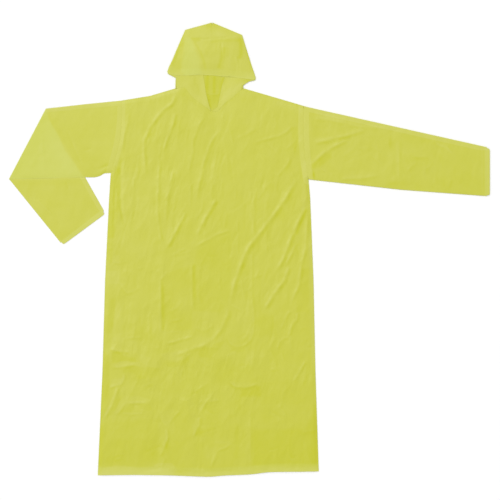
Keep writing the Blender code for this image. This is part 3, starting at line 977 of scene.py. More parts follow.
HOOD_SECTIONS = {
    Side.RIGHT: sections(
        ("neck", (-171.6, 371.5), (-93, 356.5), (-89.7, 319.7), None, 0),
        ("collar", (-171.5, 376), (-92.5, 363), (-94.5, 334), None, 0, 0.5),
        ("throat", (-171.2, 385), (-91.5, 376), (-101.3, 360), None, 0, 0.9),
        ("tuck", (-170.7, 395.6), (-89.9, 392), (-105.5, 388), None, 0, 1),
        ("below_brim", (-188, 404.5), (-88.6, 401), (-107.6, 400.5), None, 0, 1),
        ("brim", (-190.2, 409.5), (-88.4, 403), (-109, 404.5), (-88, 401.9), -0.25, 1, 1),
        ("hem", (-187, 419.5), (-87.8, 412), (-113, 413), (-87.7, 410.9), 0.5, 0.8, 0.75),
        ("temple", (-178.4, 437), (-86.8, 430), (-120, 432), (-86.7, 429.5), 2.4),
        ("tuck_top", (-170.6, 456.3), (-86, 449), (-127, 452), (-85.9, 448.5), 3.1),
        ("above_tuck", (-168.4, 461.4), (-85.8, 454), None, (-85.7, 453.5), 4),
        ("corner", (-148.9, 506), (-84.8, 474), None, (-84.7, 473.5), 2.7),
        ("crown", (-117.5, 514.6), (-85.6, 494), None, (-85.5, 493.5), 2),
        ("apex", (-88.2, 522.8), (-87.1, 516.5), None, (-87, 516), 0),
    ),
    Side.LEFT: sections(
        ("neck", (-15.4, 371.9), (-93, 356.5), (-87.5, 319.7), None, 0),
        ("collar", (-15.4, 374), (-92.5, 362), (-74.5, 329), None, 0, 0.5),
        ("throat", (-15.4, 378.8), (-91.2, 376), (-70, 350), None, 0, 0.9),
        ("tuck", (-2, 387.4), (-89.6, 392), (-64.5, 378), None, 0, 1),
        ("below_brim", (11.5, 390.4), (-88.3, 401), (-57.5, 397), None, 0, 1),
        ("brim", (13.4, 394.4), (-88.1, 403), (-55, 401), (-87.9, 401.9), -0.25, 1, 1),
        ("hem", (10.2, 405.7), (-87.5, 412), (-54, 410), (-87.6, 410.9), 0.5, 0.8, 0.75),
        ("temple", (3.7, 424.2), (-86.5, 430), (-47, 428), (-86.6, 429.5), 2.4),
        ("tuck_top", (-2.4, 443.3), (-85.7, 449), (-40, 446), (-85.8, 448.5), 3.1),
        ("above_tuck", (-4, 448.3), (-85.5, 454), None, (-85.6, 453.5), 4),
        ("corner", (-18.2, 494.3), (-84.5, 474), None, (-84.6, 473.5), 2.7),
        ("crown", (-51.4, 508.3), (-85.3, 494), None, (-85.4, 493.5), 2),
        ("apex", (-86, 522.7), (-86.8, 516.5), None, (-86.9, 516), 0),
    ),
}
BRIM_LINES = {
    Side.RIGHT: ((-170.2, 401.2), (-142, 401.4), (-112, 403.2)),
    Side.LEFT: ((-10, 395.4), (-35, 397.3), (-61, 400.3)),
}
BRIM_EDGE = (
    (-190.2, 409.5),
    *BRIM_LINES[Side.RIGHT],
    (-88, 401.9),
    *BRIM_LINES[Side.LEFT][::-1],
    (13.4, 394.4),
)


@dataclass(frozen=True)
class HoodHalf(Piece):
    """One half of the hood: back layer, side fold, flank beside the neck opening and brim."""

    side: Side
    visor: Surface
    flank: Surface
    lining: Surface

    GAP = 0.04  # between films that touch
    FLANK_TOP = LAYER + 1.0
    STACK = FLANK_TOP + WALL + GAP
    THROAT_STACK = 2.6
    THROAT_SECTIONS = 4  # below the brim, with that lower stack
    START = 0.5  # where the slots between the layers start, from the side fold
    NUB = 1.2  # length of a layer that ends at the side fold
    OVERLAP = 0.35  # of the two halves at the centre seam
    LOWEST_FLANK = 2 * (WALL + GAP)
    DIP = FLANK_TOP - LOWEST_FLANK  # brings the flank's free edge down to the back layer
    DIP_SPAN = (0.5, 1.0)  # shares of the flank's width over which it goes down
    SAG = 1.75  # brings the brim down over the neck opening
    SAG_SPAN = (0.55, 0.85)
    COLLAR_DROP = 1.4  # brings the flank down to the panel's edge beside the shoulder
    NECK_OVERLAP = 0.5  # of the flank and the front panel
    NECK_BOWS = (0.8, 0.35)  # how far the second and third sections follow the neck's shape
    SMOOTHING = 18  # rounds, along the side fold
    PUFF_ROUNDING = 0.8  # the lower, the faster the brim rises from the side fold
    LOWEST_PUFF = 0.3  # for the relief, which is lower on flat film
    EDGE_SHARE = 0.12  # of the width, over which the relief starts at the side fold
    FLANK_RELIEF = 0.5  # share of it that shows on the flank
    LAP_POWER = 8  # keeps the lap of the left half over the right one to the centre seam
    ACROSS = 34
    ROUND_STEPS = 5
    SPACING = 2.6
    FINE = 0.1
    NECK_STRIP = 11.0
    BRIM_HEM = 15.0

    def fingers(self, section: Section, start: float) -> Array:
        """The three layers of a section in plan, as back, flank and brim, each from its start."""
        side, back = np.array(section.side), np.array(section.back)
        stop = side + (back - side) * (self.START + self.NUB) / math.dist(side, back)
        over = np.array([-self.side.outwards * self.OVERLAP, 0.0])
        ends = [
            back + over,
            section.flank or stop,
            stop if section.brim is None else np.array(section.brim) + over,
        ]
        lines = [np.array([section.side, end]) for end in ends]
        if section.name == "neck":
            for layer, neck in ((0, CUT.back_neck), (1, CUT.front_neck)):
                half = neck[:4] if self.side is Side.RIGHT else neck[:-6:-1]
                lines[layer] = np.array([*half, ends[layer]])
        if section.name == "brim":
            lines[2] = np.array([section.side, *BRIM_LINES[self.side], ends[2]])
        made = []
        for line in lines:
            fine = spaced(line, self.FINE)
            skip = min(len(fine) - 2, round(start / self.FINE))
            made.append(resample(fine[skip:], self.ACROSS))
        return np.array(made)

    def rows(self) -> tuple[Array, ...]:
        """Plan of the layers from the side's outside and inside, stack heights, puffs, dips and sags."""
        cuts = HOOD_SECTIONS[self.side]
        outer = [self.fingers(cut, self.STACK / 2) for cut in cuts]
        inner = [self.fingers(cut, self.START) for cut in cuts]
        for lines in (outer, inner):
            bow = lines[0][1] - resample(lines[0][1][[0, -1]], self.ACROSS)
            for row, share in enumerate(self.NECK_BOWS, 1):
                lines[row][1] += share * bow
        throat = self.THROAT_SECTIONS
        stacks = [self.THROAT_STACK] * throat + [self.STACK] * (len(cuts) - throat)
        forms = ([getattr(cut, form) for cut in cuts] for form in ("puff", "dip", "sag"))
        columns = (outer, inner, stacks, *forms)
        made: list[list[Array | float]] = [[] for _ in columns]
        first = 0
        for row in range(len(cuts) - 1):
            steps = max(1, round(math.dist(cuts[row].side, cuts[row + 1].side) / self.SPACING))
            if cuts[row].name == "below_brim":
                steps = 1
                first = len(made[0]) + 1
            for step in range(steps):
                share = step / steps
                for values, column in zip(made, columns):
                    values.append(column[row] * (1 - share) + column[row + 1] * share)
        for values, column in zip(made, columns):
            values.append(column[-1])
        plan = [np.array(values) for values in made]
        puffs = plan[3][first:]
        for _ in range(self.SMOOTHING):
            puffs[1:-1] = (puffs[:-2] + 2 * puffs[1:-1] + puffs[2:]) / 4
        return tuple(plan)

    def shell(self) -> Shell:
        """The half, lofted through its rows."""
        outer, inner, stack, puff, dip, sag = self.rows()
        for plan in (outer, inner):
            down = plan[0, 1] - plan[2, 1]
            plan[0, 1] += self.NECK_OVERLAP * down / np.maximum(np.linalg.norm(down, axis=1), TINY)[:, None]
        rows = len(outer)
        count = self.ACROSS
        back_plan, flank_plan, brim_plan = (outer[:, layer].reshape(-1, 2) for layer in range(3))
        share = np.linspace(0.0, 1.0, count)[None, :]
        swell = puff[:, None] * np.sin(math.pi / 2 * share) ** self.PUFF_ROUNDING
        lining = self.lining.relief(back_plan)
        flank = self.flank.relief(flank_plan)
        visor = self.visor.relief(brim_plan)
        tones = [relief.tones(rows, count) for relief in (lining, flank, visor)]
        edge = smoothstep(0.0, self.EDGE_SHARE, share)
        lift = visor.height.reshape(rows, count) * edge * np.clip(puff, self.LOWEST_PUFF, 1.0)[:, None]
        flank_lift = flank.height.reshape(rows, count) * edge * self.FLANK_RELIEF

        def raised(plan: Array, height: Array | float) -> Array:
            """Points of a layer at a height."""
            return np.dstack([plan, np.broadcast_to(height, plan.shape[:2])])

        lap = self.GAP * share**self.LAP_POWER * (self.side is Side.LEFT)
        brim_top = stack[:, None] + swell + lift + lap
        brim_top -= self.SAG * sag[:, None] * smoothstep(*self.SAG_SPAN, share)
        from_shoulder = distance(flank_plan, CUT.shoulder_line(self.side, CUT.front_neck))
        lower = throat_dip(flank_plan)
        lower += self.COLLAR_DROP * (1 - smoothstep(0.0, Panel.EDGE_RISE, from_shoulder))
        flank_top = self.FLANK_TOP + flank_lift - lower.reshape(rows, count)
        flank_top -= self.DIP * dip[:, None] * smoothstep(*self.DIP_SPAN, share)
        flank_top = np.maximum(flank_top, self.LOWEST_FLANK)
        aim = outer[:, 0, -1] - outer[:, 0, 0]
        outwards = -aim / np.linalg.norm(aim, axis=1)[:, None]
        side = np.array([section[0, 0] for section in outer])
        radius = stack / 2
        turns = math.pi * (np.arange(self.ROUND_STEPS) + 1) / (self.ROUND_STEPS + 1)
        bulge = np.sin(turns)[None, :, None] * radius[:, None, None] * outwards[:, None, :]
        fold = np.dstack([side[:, None, :] + bulge, radius[:, None] * (1 - np.cos(turns))[None, :]])
        loops = np.concatenate(
            [
                raised(outer[:, 0, ::-1], 0.0),
                fold,
                raised(outer[:, 2], brim_top),
                raised(inner[:, 2, ::-1], (brim_top - WALL)[:, ::-1]),
                raised(inner[:, 1], flank_top),
                raised(inner[:, 1, ::-1], (flank_top - WALL)[:, ::-1]),
                raised(inner[:, 0], WALL + lap),
            ],
            1,
        )
        plain = np.full((rows, count), FAR)
        neck = distance(flank_plan, CUT.front_neck).reshape(rows, count) / self.NECK_STRIP
        back_neck = distance(back_plan, CUT.back_neck).reshape(rows, count) / self.NECK_STRIP
        hem = distance(brim_plan, BRIM_EDGE).reshape(rows, count) / self.BRIM_HEM
        channels = {
            **{name: self._round(*(layer[name] for layer in tones)) for name in tones[0]},
            "strip": self._round(back_neck, neck, plain),
            "hem": self._round(plain, plain, hem),
        }
        values = {name: channel.ravel() for name, channel in channels.items()}
        return Shell(loops.reshape(-1, 3), self._faces(rows, loops.shape[1]), values)

    def _round(self, back: Array, flank: Array, brim: Array) -> Array:
        """A channel's values round each row, from those of its three layers."""
        fold = np.repeat(brim[:, :1], self.ROUND_STEPS, 1)
        return np.concatenate([back[:, ::-1], fold, brim, brim[:, ::-1], flank, flank[:, ::-1], back], 1)

    def _faces(self, rows: int, size: int) -> Faces:
        """Faces between the rows, and those that close the two ends."""
        faces = []
        for row in range(rows - 1):
            here, there = row * size, (row + 1) * size
            for i in range(size):
                j = (i + 1) % size
                faces.append((here + i, here + j, there + j, there + i))
        for first, turned in ((0, True), ((rows - 1) * size, False)):
            for face in self._end_faces():
                faces.append(tuple(first + i for i in (face[::-1] if turned else face)))
        return faces

    def _end_faces(self) -> Faces:
        """Faces that fill one row: a strip for each layer and one at the side fold."""
        count = self.ACROSS
        fold = count
        brim = fold + self.ROUND_STEPS
        under, flank = brim + count, brim + 2 * count
        flank_under, back_top = flank + count, flank + 2 * count
        faces = []
        for first, second in ((0, back_top), (brim, under), (flank, flank_under)):
            for k in range(count - 1):
                faces.append((first + k, first + k + 1, second + count - 2 - k, second + count - 1 - k))
        under_end, flank_end = under + count - 1, flank_under + count - 1
        return [*faces, (count - 1, *range(fold, brim + 1), under_end, flank, flank_end, back_top)]


# ---- creases, listed

FRONT_CREASES = creases(
    ("chest_right", (
        (-168, 361), (-179, 336), (-200, 320), (-216, 301), (-232, 276), (-243, 251), (-243, 218),
        (-239, 166)
    ), 0.75, 4.2),
    ("chest_right_short", ((-170, 317), (-176, 292), (-202, 221)), 0.7, 3.6),
    ("neck_right", ((-101, 310), (-114, 292), (-130, 253), (-131, 225), (-138, 195), (-140, 166)), 0.4, 3.4),
    ("chest_centre", ((-67, 276), (-82, 260), (-92, 239), (-106, 198), (-125, 110)), 0.65, 4.2),
    ("chest_inner", ((-207, 212), (-210, 154), (-210, 122)), 0.6, 3.8),
    ("chest_inner_low", ((-176, 184), (-190, 113), (-194, 60)), 0.55, 4.2),
    ("chest_inner_short", ((-211, 140), (-212, 87), (-206, 32), (-199, 12)), 0.5, 3.4),
    ("chest_side_line", ((-269, 124), (-273, 60), (-278, 32)), 0.25, 3.2),
    ("belly_short", ((-136, 152), (-137, 126), (-137, 97)), 0.35, 3),
    ("belly_fan", ((-144, 108), (-152, 92), (-163, 74)), 0.2, 2.6),
    ("belly_right_steep", ((-147, 87), (-167, 48), (-190, 5)), 0.85, 4),
    ("belly_steep", ((-77, 117), (-97, 83), (-123, 30)), 0.95, 4.4),
    ("belly_steep_inner", ((-108, 97), (-116, 83), (-126, 67)), 0.3, 2.8),
    ("belly_flat", ((-44, 46), (-80, 33), (-129, 5)), 0.5, 3.4),
    ("belly_flat_right", ((-147, 3), (-166, -6), (-179, -16)), 0.35, 3),
    ("side_trough", ((-292, 214), (-297, 189), (-297, 103), (-292, 74), (-285, 51)), -0.85, 3.8),
    ("side_trough_outer", ((-310, 147), (-312, 83), (-314, 46)), -0.45, 3.2),
    ("armhole_fold_right", ((-278, 317), (-282, 290), (-289, 264), (-291, 237), (-296, 216)), 0.35, 3.2),
    ("armpit_to_knee", ((110, 166), (71, 101), (-3, 5), (-12, -12), (-36, -80), (-48, -138)), 1, 5.2),
    ("knee_turn", (
        (-48, -129), (-52, -152), (-61, -172), (-72, -191), (-87, -207), (-108, -220), (-156, -237),
        (-184, -244)
    ), 0.6, 5),
    ("side_upper", ((130, 101), (105, 51), (75, -25), (66, -39), (53, -53)), 1, 4.6),
    ("side_inner", ((110, 18), (85, -30), (76, -41)), 0.6, 3.6),
    ("side_edge", ((133, 83), (128, 5), (118, -39), (113, -80), (99, -113), (95, -136)), 0.7, 3.8),
    ("side_middle", ((92, -37), (77, -74), (56, -101), (32, -140)), 0.95, 4.8),
    ("side_zigzag_top", ((94, -140), (84, -152), (72, -184)), 0.5, 3.4),
    ("side_zigzag", ((110, -143), (108, -159), (98, -172), (89, -200)), 0.7, 3.6),
    ("side_zigzag_foot", ((90, -201), (76, -204), (68, -212), (63, -230)), 0.5, 3),
    ("side_line", ((10, 138), (9, 69), (8, 28)), 0.4, 4),
    ("side_line_short", ((-8, 106), (-10, 78), (-12, 41)), -0.2, 3),
    ("packing_left", ((5, 23), (5, -106), (9, -143), (10, -184)), 0.35, 3.2, 0),
    ("inner_line", ((-28, 69), (-28, 23), (-28, -28)), 0.3, 2.6, 0),
    ("inner_line_top", ((-32, 143), (-33, 113)), 0.25, 2.4),
    ("inner_line_left", ((39, 51), (38, 23), (38, -9)), 0.3, 2.6, 0),
    ("inner_line_low", ((40, 106), (39, 64)), 0.2, 2.4),
    ("upper_diagonal", ((48, 156), (26, 128), (16, 113)), 0.3, 3.4),
    ("upper_diagonal_short", ((46, 129), (39, 113), (37, 92)), 0.2, 3),
    ("chest_left", ((97, 285), (84, 271), (67, 262), (30, 253), (9, 244)), 0.5, 3.6),
    ("chest_left_low", ((93, 212), (85, 194), (62, 168)), 0.45, 3.6),
    ("armpit_short", ((94, 179), (103, 166), (108, 150)), 0.25, 2.6),
    ("chest_arc_left", ((57, 306), (61, 290), (55, 276)), 0.25, 3),
    ("below_neck", ((-44, 276), (-43, 260), (-38, 244)), 0.3, 2.6),
    ("neck_tick", ((-62, 317), (-62, 299)), 0.25, 2.4),
    ("packed_edge_right", ((-205, -67), (-205, -161), (-204, -193)), 0.55, 3.4, 0),
    ("packed_corner", ((-189, -48), (-198, -60), (-206, -71)), 0.3, 3),
    ("packed_edge", ((-133, -28), (-133, -115), (-129, -143)), 0.5, 3.6, 0),
    ("belly_trough", ((-69, -41), (-70, -69), (-67, -97)), 0.25, 3),
    ("waist_arc", ((-304, -71), (-283, -100), (-264, -94), (-253, -85)), 0.3, 3),
    ("waist_flat", ((-292, -49), (-269, -51)), 0.2, 2.4),
    ("waist_low", ((-317, -28), (-299, -31), (-283, -25)), 0.2, 2.6),
    ("hip_short", ((-252, -145), (-251, -172)), -0.3, 2.6),
    ("hip_short_low", ((-266, -179), (-266, -202)), 0.25, 2.6),
    ("hip_line", ((-232, -146), (-230, -218)), 0.35, 3.4),
    ("hip_light", ((-309, -124), (-313, -166), (-316, -198)), -0.3, 3.2),
    ("thigh_flat", ((-285, -204), (-264, -202), (-246, -202)), 0.35, 2.6),
    ("knee_right_top", ((-322, -228), (-304, -233), (-276, -235)), 0.5, 3.2),
    ("knee_flat", ((-182, -162), (-170, -163), (-154, -158)), 0.3, 2.8),
    ("knee_flat_low", ((-182, -190), (-163, -189)), 0.25, 2.4),
    ("knee_flat_lowest", ((-193, -216), (-147, -204), (-129, -197)), 0.6, 3.2),
    ("knee_small", ((-99, -184), (-85, -174)), 0.3, 2.4),
    ("knee_diagonal", ((-131, -235), (-145, -245), (-159, -258)), 0.3, 3.4),
    ("knee_cup", (
        (-53, -198), (-46, -215), (-32, -223), (-16, -221), (-1, -210), (8, -193), (10, -166)
    ), 0.42, 3.2),
    ("knee_right", ((-317, -270), (-283, -268), (-262, -262)), 0.5, 3.2),
    ("knee_right_end", ((-288, -285), (-290, -299), (-297, -309), (-315, -314), (-325, -320)), 0.5, 3.2),
    ("skirt_right", ((-302, -313), (-320, -363), (-337, -391)), 0.7, 3.6),
    ("skirt_right_inner", ((-237, -351), (-283, -352), (-291, -359), (-308, -383)), 0.5, 3.4),
    ("skirt_thin_line", ((-274, -371), (-255, -370), (-239, -370)), 0.3, 2.2),
    ("skirt_thin_line_low", ((-294, -377), (-260, -378), (-241, -375)), 0.35, 2.2),
    ("skirt_short", ((-232, -290), (-232, -308)), 0.2, 2.4),
    ("skirt_arc", ((-197, -315), (-205, -334), (-206, -352)), 0.3, 2.8),
    ("skirt_upright", ((-156, -276), (-158, -308)), 0.3, 2.8),
    ("skirt_upright_short", ((-178, -290), (-179, -313)), 0.3, 2.8),
    ("skirt_upright_left", ((-120, -278), (-122, -301)), 0.25, 2.4),
    ("skirt_low_fan", ((-161, -371), (-175, -384), (-186, -400)), 0.45, 3),
    ("skirt_low_fan_right", ((-209, -375), (-204, -391), (-195, -405)), -0.2, 3),
    ("skirt_low", ((-191, -409), (-189, -428), (-192, -442), (-207, -476)), 0.65, 3.4),
    ("skirt_low_end", ((-195, -478), (-200, -492), (-207, -504)), 0.4, 3.4),
    ("skirt_cut", ((-115, -384), (-117, -402), (-130, -430)), 0.6, 3.4),
    ("skirt_cut_top", ((-97, -340), (-105, -358), (-113, -373)), 0.5, 3.4),
    ("skirt_patch", ((-117, -350), (-92, -348), (-67, -345)), 0.35, 3.4),
    ("hem_crumple_right", ((-315, -476), (-304, -471), (-288, -470)), 0.3, 2.4),
    ("hem_crumple_right_low", ((-313, -483), (-301, -481), (-292, -475)), 0.3, 2.6),
    ("skirt_left", ((129, -255), (109, -289), (98, -304)), 0.6, 3),
    ("skirt_left_low", ((76, -334), (74, -350), (67, -366)), 0.3, 2.8),
    ("skirt_left_branch", ((64, -356), (76, -368), (85, -384)), 0.2, 2.4),
    ("skirt_ledge", ((-48, -302), (-34, -315), (-5, -315), (23, -307)), 0.55, 3.4),
    ("skirt_ledge_side", ((-32, -313), (-39, -329), (-46, -343)), 0.3, 3),
    ("packing_left_low", ((1, -368), (1, -437), (1, -492)), 0.3, 3.2, 0),
    ("hem_fan", ((-41, -444), (-54, -454), (-71, -460), (-80, -471)), 0.45, 3),
    ("hem_fan_edge", ((-78, -465), (-84, -483), (-89, -501)), 0.4, 3.2),
    ("hem_crumple_left", ((41, -461), (57, -458), (69, -451)), -0.3, 2.4),
    ("hem_crumple_corner", ((90, -469), (97, -481), (110, -471)), -0.35, 2.6),
    ("hem_crumple_corner_low", ((87, -488), (99, -486), (108, -478)), -0.25, 2.4),
)

FRONT_CRINKLES = (
    Crinkles(34, (-300, 0), (-30, 300), 262, 10, (35, 100), (0.12, 0.34), 11),
    Crinkles(26, (-30, 20), (120, 300), 250, 24, (25, 70), (0.1, 0.26), 17),
    Crinkles(22, (-320, -210), (130, 20), 264, 12, (30, 90), (0.1, 0.28), 12),
    Crinkles(24, (-330, -210), (130, 20), 200, 35, (15, 40), (0.1, 0.28), 18),
    Crinkles(30, (-330, -480), (140, -200), 255, 22, (20, 60), (0.1, 0.3), 13),
    Crinkles(26, (-330, -480), (140, -200), 190, 28, (15, 45), (0.1, 0.3), 14),
    Crinkles(22, (-330, -512), (140, -496), 181, 7, (18, 60), (0.15, 0.4), 24),
)

FRONT_CRUMPLED = (
    Patch((-200, 150), (90, 150), 0.3),  # right chest
    Patch((-240, -150), (90, 110), 0.35),  # right hip
    Patch((-150, -310), (200, 120), 0.65),  # skirt
    Patch((90, -20), (70, 150), 0.2),  # left side
    Patch((40, 260), (60, 60), -0.1),  # left chest
    Patch((90, -440), (80, 70), 0.05),  # left foot
)

# places on the front where the film looks milkier or less milky, and painted shade where noted
FRONT_MARKS = (
    # the whole panel
    Patch((-120, 240), (190, 110), -0.1),
    Patch((-50, 40), (80, 70), -0.07),
    Patch((60, -70), (60, 80), 0.05),
    Patch((-120, -120), (110, 70), 0.07),
    Patch((-280, -370), (70, 90), 0.07),
    Zone(((-292, 170), (-216, 170), (-212, -28), (-304, -28)), 0.06, 12),
    # neck and shoulders
    # painted shade beneath the neck seam on the right
    Patch((-152, 356), (13, 17), -0.22),
    # painted shadow of the left flank's edge along the neck seam
    Streak(((-25, 365), (-44, 347), (-67, 329)), 7, -0.3),
    # painted shade beneath the neck seam on the right
    Streak(((-159, 363), (-124, 336), (-106, 324)), 7, -0.12),
    Streak(((-166, 368), (-193, 359), (-230, 347)), 14, 0.22),
    Streak(((57, 340), (92, 331), (122, 317)), 14, 0.26),
    Patch((-14, 347), (13, 6), -0.2),
    # chest and armpits
    # painted shade on the lee sides of the chest's creases
    Patch((-168, 288), (9, 14), -0.26),
    Patch((-214, 292), (6, 8), -0.2),
    Patch((-228, 269), (7, 9), -0.2),
    Patch((32, 241), (26, 18), -0.08),
    Zone(((-16, 161), (9, 161), (5, 103), (9, 23), (-2, 23), (-5, 92), (-18, 124)), 0.08),
    Zone(((94, 283), (109, 283), (109, 239), (103, 212), (99, 239)), -0.3, 3),
    Patch((87, 193), (7, 16), -0.18),
    Zone(((122, 205), (138, 205), (138, 166), (122, 166)), 0.28),
    # painted shade along the right side below the armpit
    Patch((-302, 182), (6, 9), -0.35),
    # belly, and the long fold down from the left armpit
    # painted shade on the lee side of the steep belly crease
    Streak(((-71, 113), (-82, 97), (-93, 78)), 6, -0.25),
    Patch((-103, 55), (8, 12), -0.16),
    Zone(((-207, 12), (-184, 51), (-175, 55), (-193, 5), (-205, -5)), 0.14),
    # painted shade on the lee side of the steep crease on the right of the belly
    Zone(((-189, 7), (-161, 55), (-159, 48), (-179, 7)), -0.2),
    Zone(((-136, 16), (-108, 55), (-103, 53), (-133, 5)), 0.12),
    Patch((51, 143), (14, 12), -0.12),
    Patch((94, 115), (13, 22), -0.22),
    Patch((74, 80), (9, 12), -0.2),
    Patch((14, 9), (9, 12), -0.22),
    Patch((-14, -39), (7, 14), -0.2),
    # where the garment was folded flat in its pack
    Zone(((-205, -69), (-184, -51), (-133, -32), (-133, -184), (-200, -186)), -0.2, 3),
    Zone(((-131, -28), (-122, 0), (-87, 23), (-44, 39), (-44, -115), (-69, -143), (-129, -140)), -0.19, 4),
    Patch((-152, -120), (14, 42), 0.1),
    # painted shade on the lee sides of the pack's fold lines
    Streak(((-200, -76), (-199, -156), (-200, -189)), 8, -0.26),
    Streak(((-128, -28), (-128, -80), (-126, -115)), 9, -0.3),
    Streak(((-7, -373), (-7, -425), (-7, -490)), 8, 0.1),
    # right side
    # painted shade along the right side below the armpit
    Zone(((-320, 193), (-301, 193), (-302, 92), (-314, 28), (-329, 28)), -0.4, 4),
    Patch((-310, -57), (16, 30), 0.18),
    Zone(((-317, -12), (-299, -12), (-299, -30), (-317, -34)), 0.16),
    Zone(((-329, -48), (-301, -48), (-299, -78), (-329, -78)), 0.16),
    # the painted shade along the right side, further down
    Zone(((-327, 55), (-308, 55), (-310, 32), (-317, 12), (-317, -28), (-329, -28)), -0.16),
    Zone(((-306, -115), (-290, -115), (-297, -230), (-320, -230), (-313, -172)), 0.12, 5),
    Zone(((-321, -113), (-309, -113), (-315, -172), (-327, -198), (-334, -184)), -0.2, 4),
    Zone((
        (-320, -209), (-317, -235), (-290, -232), (-274, -241), (-260, -235), (-260, -214), (-274, -198),
        (-317, -200)
    ), 0.12),
    Zone(((-299, -106), (-258, -106), (-253, -150), (-264, -195), (-317, -195), (-315, -156)), 0.08),
    Zone((
        (-336, -235), (-324, -241), (-322, -299), (-324, -334), (-343, -396), (-347, -396), (-340, -235)
    ), -0.25, 3),
    Zone(((-345, -402), (-336, -402), (-338, -471), (-340, -497), (-350, -497)), -0.2, 3),
    # left side
    # painted shade on the lee side of the crease below the left armpit
    Streak(((131, 97), (114, 55), (106, 32)), 7, -0.45),
    Patch((110, 0), (7, 14), -0.16),
    Streak(((123, 159), (123, 108), (117, 87)), 10, 0.28),
    Streak(((138, 41), (143, -115), (146, -290)), 9, 0.44),
    Zone(((117, -46), (136, -41), (136, -143), (108, -143), (106, -115), (117, -83)), -0.22, 4),
    Zone(((140, -354), (156, -354), (159, -497), (140, -497)), -0.12, 4),
    # knees
    Zone(((12, -161), (28, -143), (57, -156), (60, -198), (12, -200)), -0.14, 6),
    Zone(((-9, -115), (7, -115), (10, -156), (5, -193), (-7, -193)), 0.14, 4),
    Patch((1, -200), (7, 8), 0.2),
    Streak(((-44, -225), (-28, -232), (-9, -228)), 8, -0.22),
    Zone((
        (-317, -237), (-304, -232), (-288, -244), (-262, -248), (-262, -258), (-285, -255), (-317, -260)
    ), -0.26),
    Zone((
        (-313, -264), (-299, -255), (-255, -258), (-253, -267), (-281, -263), (-297, -271), (-308, -271)
    ), 0.26),
    Zone((
        (-297, -274), (-271, -267), (-207, -271), (-207, -290), (-253, -297), (-271, -281), (-292, -281)
    ), -0.15),
    Zone((
        (-253, -241), (-225, -248), (-202, -237), (-166, -230), (-138, -232), (-136, -246), (-166, -255),
        (-191, -253), (-207, -271), (-230, -269), (-253, -258)
    ), 0.13),
    Zone(((-207, -239), (-161, -235), (-143, -239), (-161, -253), (-195, -253)), 0.1),
    Zone((
        (-159, -251), (-150, -241), (-138, -241), (-140, -253), (-152, -264), (-179, -271), (-191, -267),
        (-189, -258), (-170, -258)
    ), -0.2),
    Zone((
        (-115, -228), (-92, -223), (-78, -214), (-60, -209), (-62, -216), (-90, -248), (-115, -246),
        (-120, -237)
    ), -0.2),
    Zone((
        (-147, -198), (-80, -200), (-60, -191), (-64, -205), (-80, -216), (-147, -230), (-166, -218)
    ), 0.12),
    Zone(((-69, -115), (-9, -115), (-9, -198), (-32, -216), (-55, -198), (-51, -156)), 0.08, 3),
    # skirt
    Patch((-44, -281), (26, 18), -0.16),
    Patch((-3, -253), (8, 10), 0.16),
    Zone(((-350, -393), (-207, -389), (-212, -492), (-352, -492)), -0.17, 8),
    Patch((-225, -467), (14, 14), -0.14),
    Patch((-166, -453), (18, 20), -0.18),
    Patch((-191, -451), (6, 9), -0.4),
    Patch((-115, -419), (9, 8), -0.28),
    Zone(((-117, -386), (-120, -407), (-129, -423), (-133, -405), (-124, -389)), 0.16, 3),
    Streak(((-41, -308), (-23, -308), (2, -306)), 8, 0.14),
    Zone(((-21, -320), (23, -313), (25, -336), (-21, -338)), -0.32, 4),
    Zone(((5, -412), (126, -412), (156, -354), (156, -497), (5, -497)), -0.26, 7),
    Zone((
        (-320, -301), (-315, -297), (-290, -294), (-290, -288), (-285, -292), (-294, -308), (-315, -317),
        (-322, -313)
    ), 0.2),
    Zone((
        (-317, -340), (-306, -322), (-304, -331), (-315, -356), (-334, -386), (-340, -391), (-322, -352)
    ), 0.2),
    Zone((
        (-317, -382), (-299, -347), (-288, -336), (-253, -336), (-230, -343), (-237, -352), (-276, -354),
        (-294, -363), (-310, -382)
    ), 0.2),
    Zone(((-317, -370), (-299, -334), (-299, -345), (-310, -370)), -0.22),
    Zone(((-299, -370), (-276, -359), (-230, -354), (-225, -368), (-290, -373)), -0.14),
    Zone(((-207, -373), (-184, -366), (-168, -370), (-189, -405), (-200, -400), (-207, -386)), 0.12),
    Zone(((-202, -448), (-195, -414), (-189, -414), (-189, -432), (-195, -453)), 0.14),
    Zone(((-115, -336), (-74, -324), (-74, -347), (-103, -354), (-113, -368), (-120, -363)), 0.15),
    Zone(((-115, -375), (-101, -359), (-69, -354), (-74, -402), (-115, -402)), -0.08),
    Zone(((-122, -409), (-80, -409), (-85, -430), (-124, -428)), -0.12),
    Zone(((-9, -230), (7, -230), (5, -264), (-14, -264)), 0.1),
    Zone(((9, -304), (145, -299), (147, -354), (9, -354)), -0.07, 3),
    # hem
    Streak(((-30, -396), (-30, -448), (-32, -485)), 12, -0.16),
    Zone(((-103, -453), (-76, -453), (-83, -481), (-101, -478)), 0.14, 4),
    Streak(((-83, -440), (-64, -442), (-46, -442)), 9, 0.16),
    Zone((
        (-336, -501), (-304, -494), (-253, -501), (-225, -499), (-212, -490), (-179, -490), (-168, -506),
        (-179, -520), (-345, -520)
    ), 0.36),
    Patch((-159, -511), (22, 9), -0.4),
)

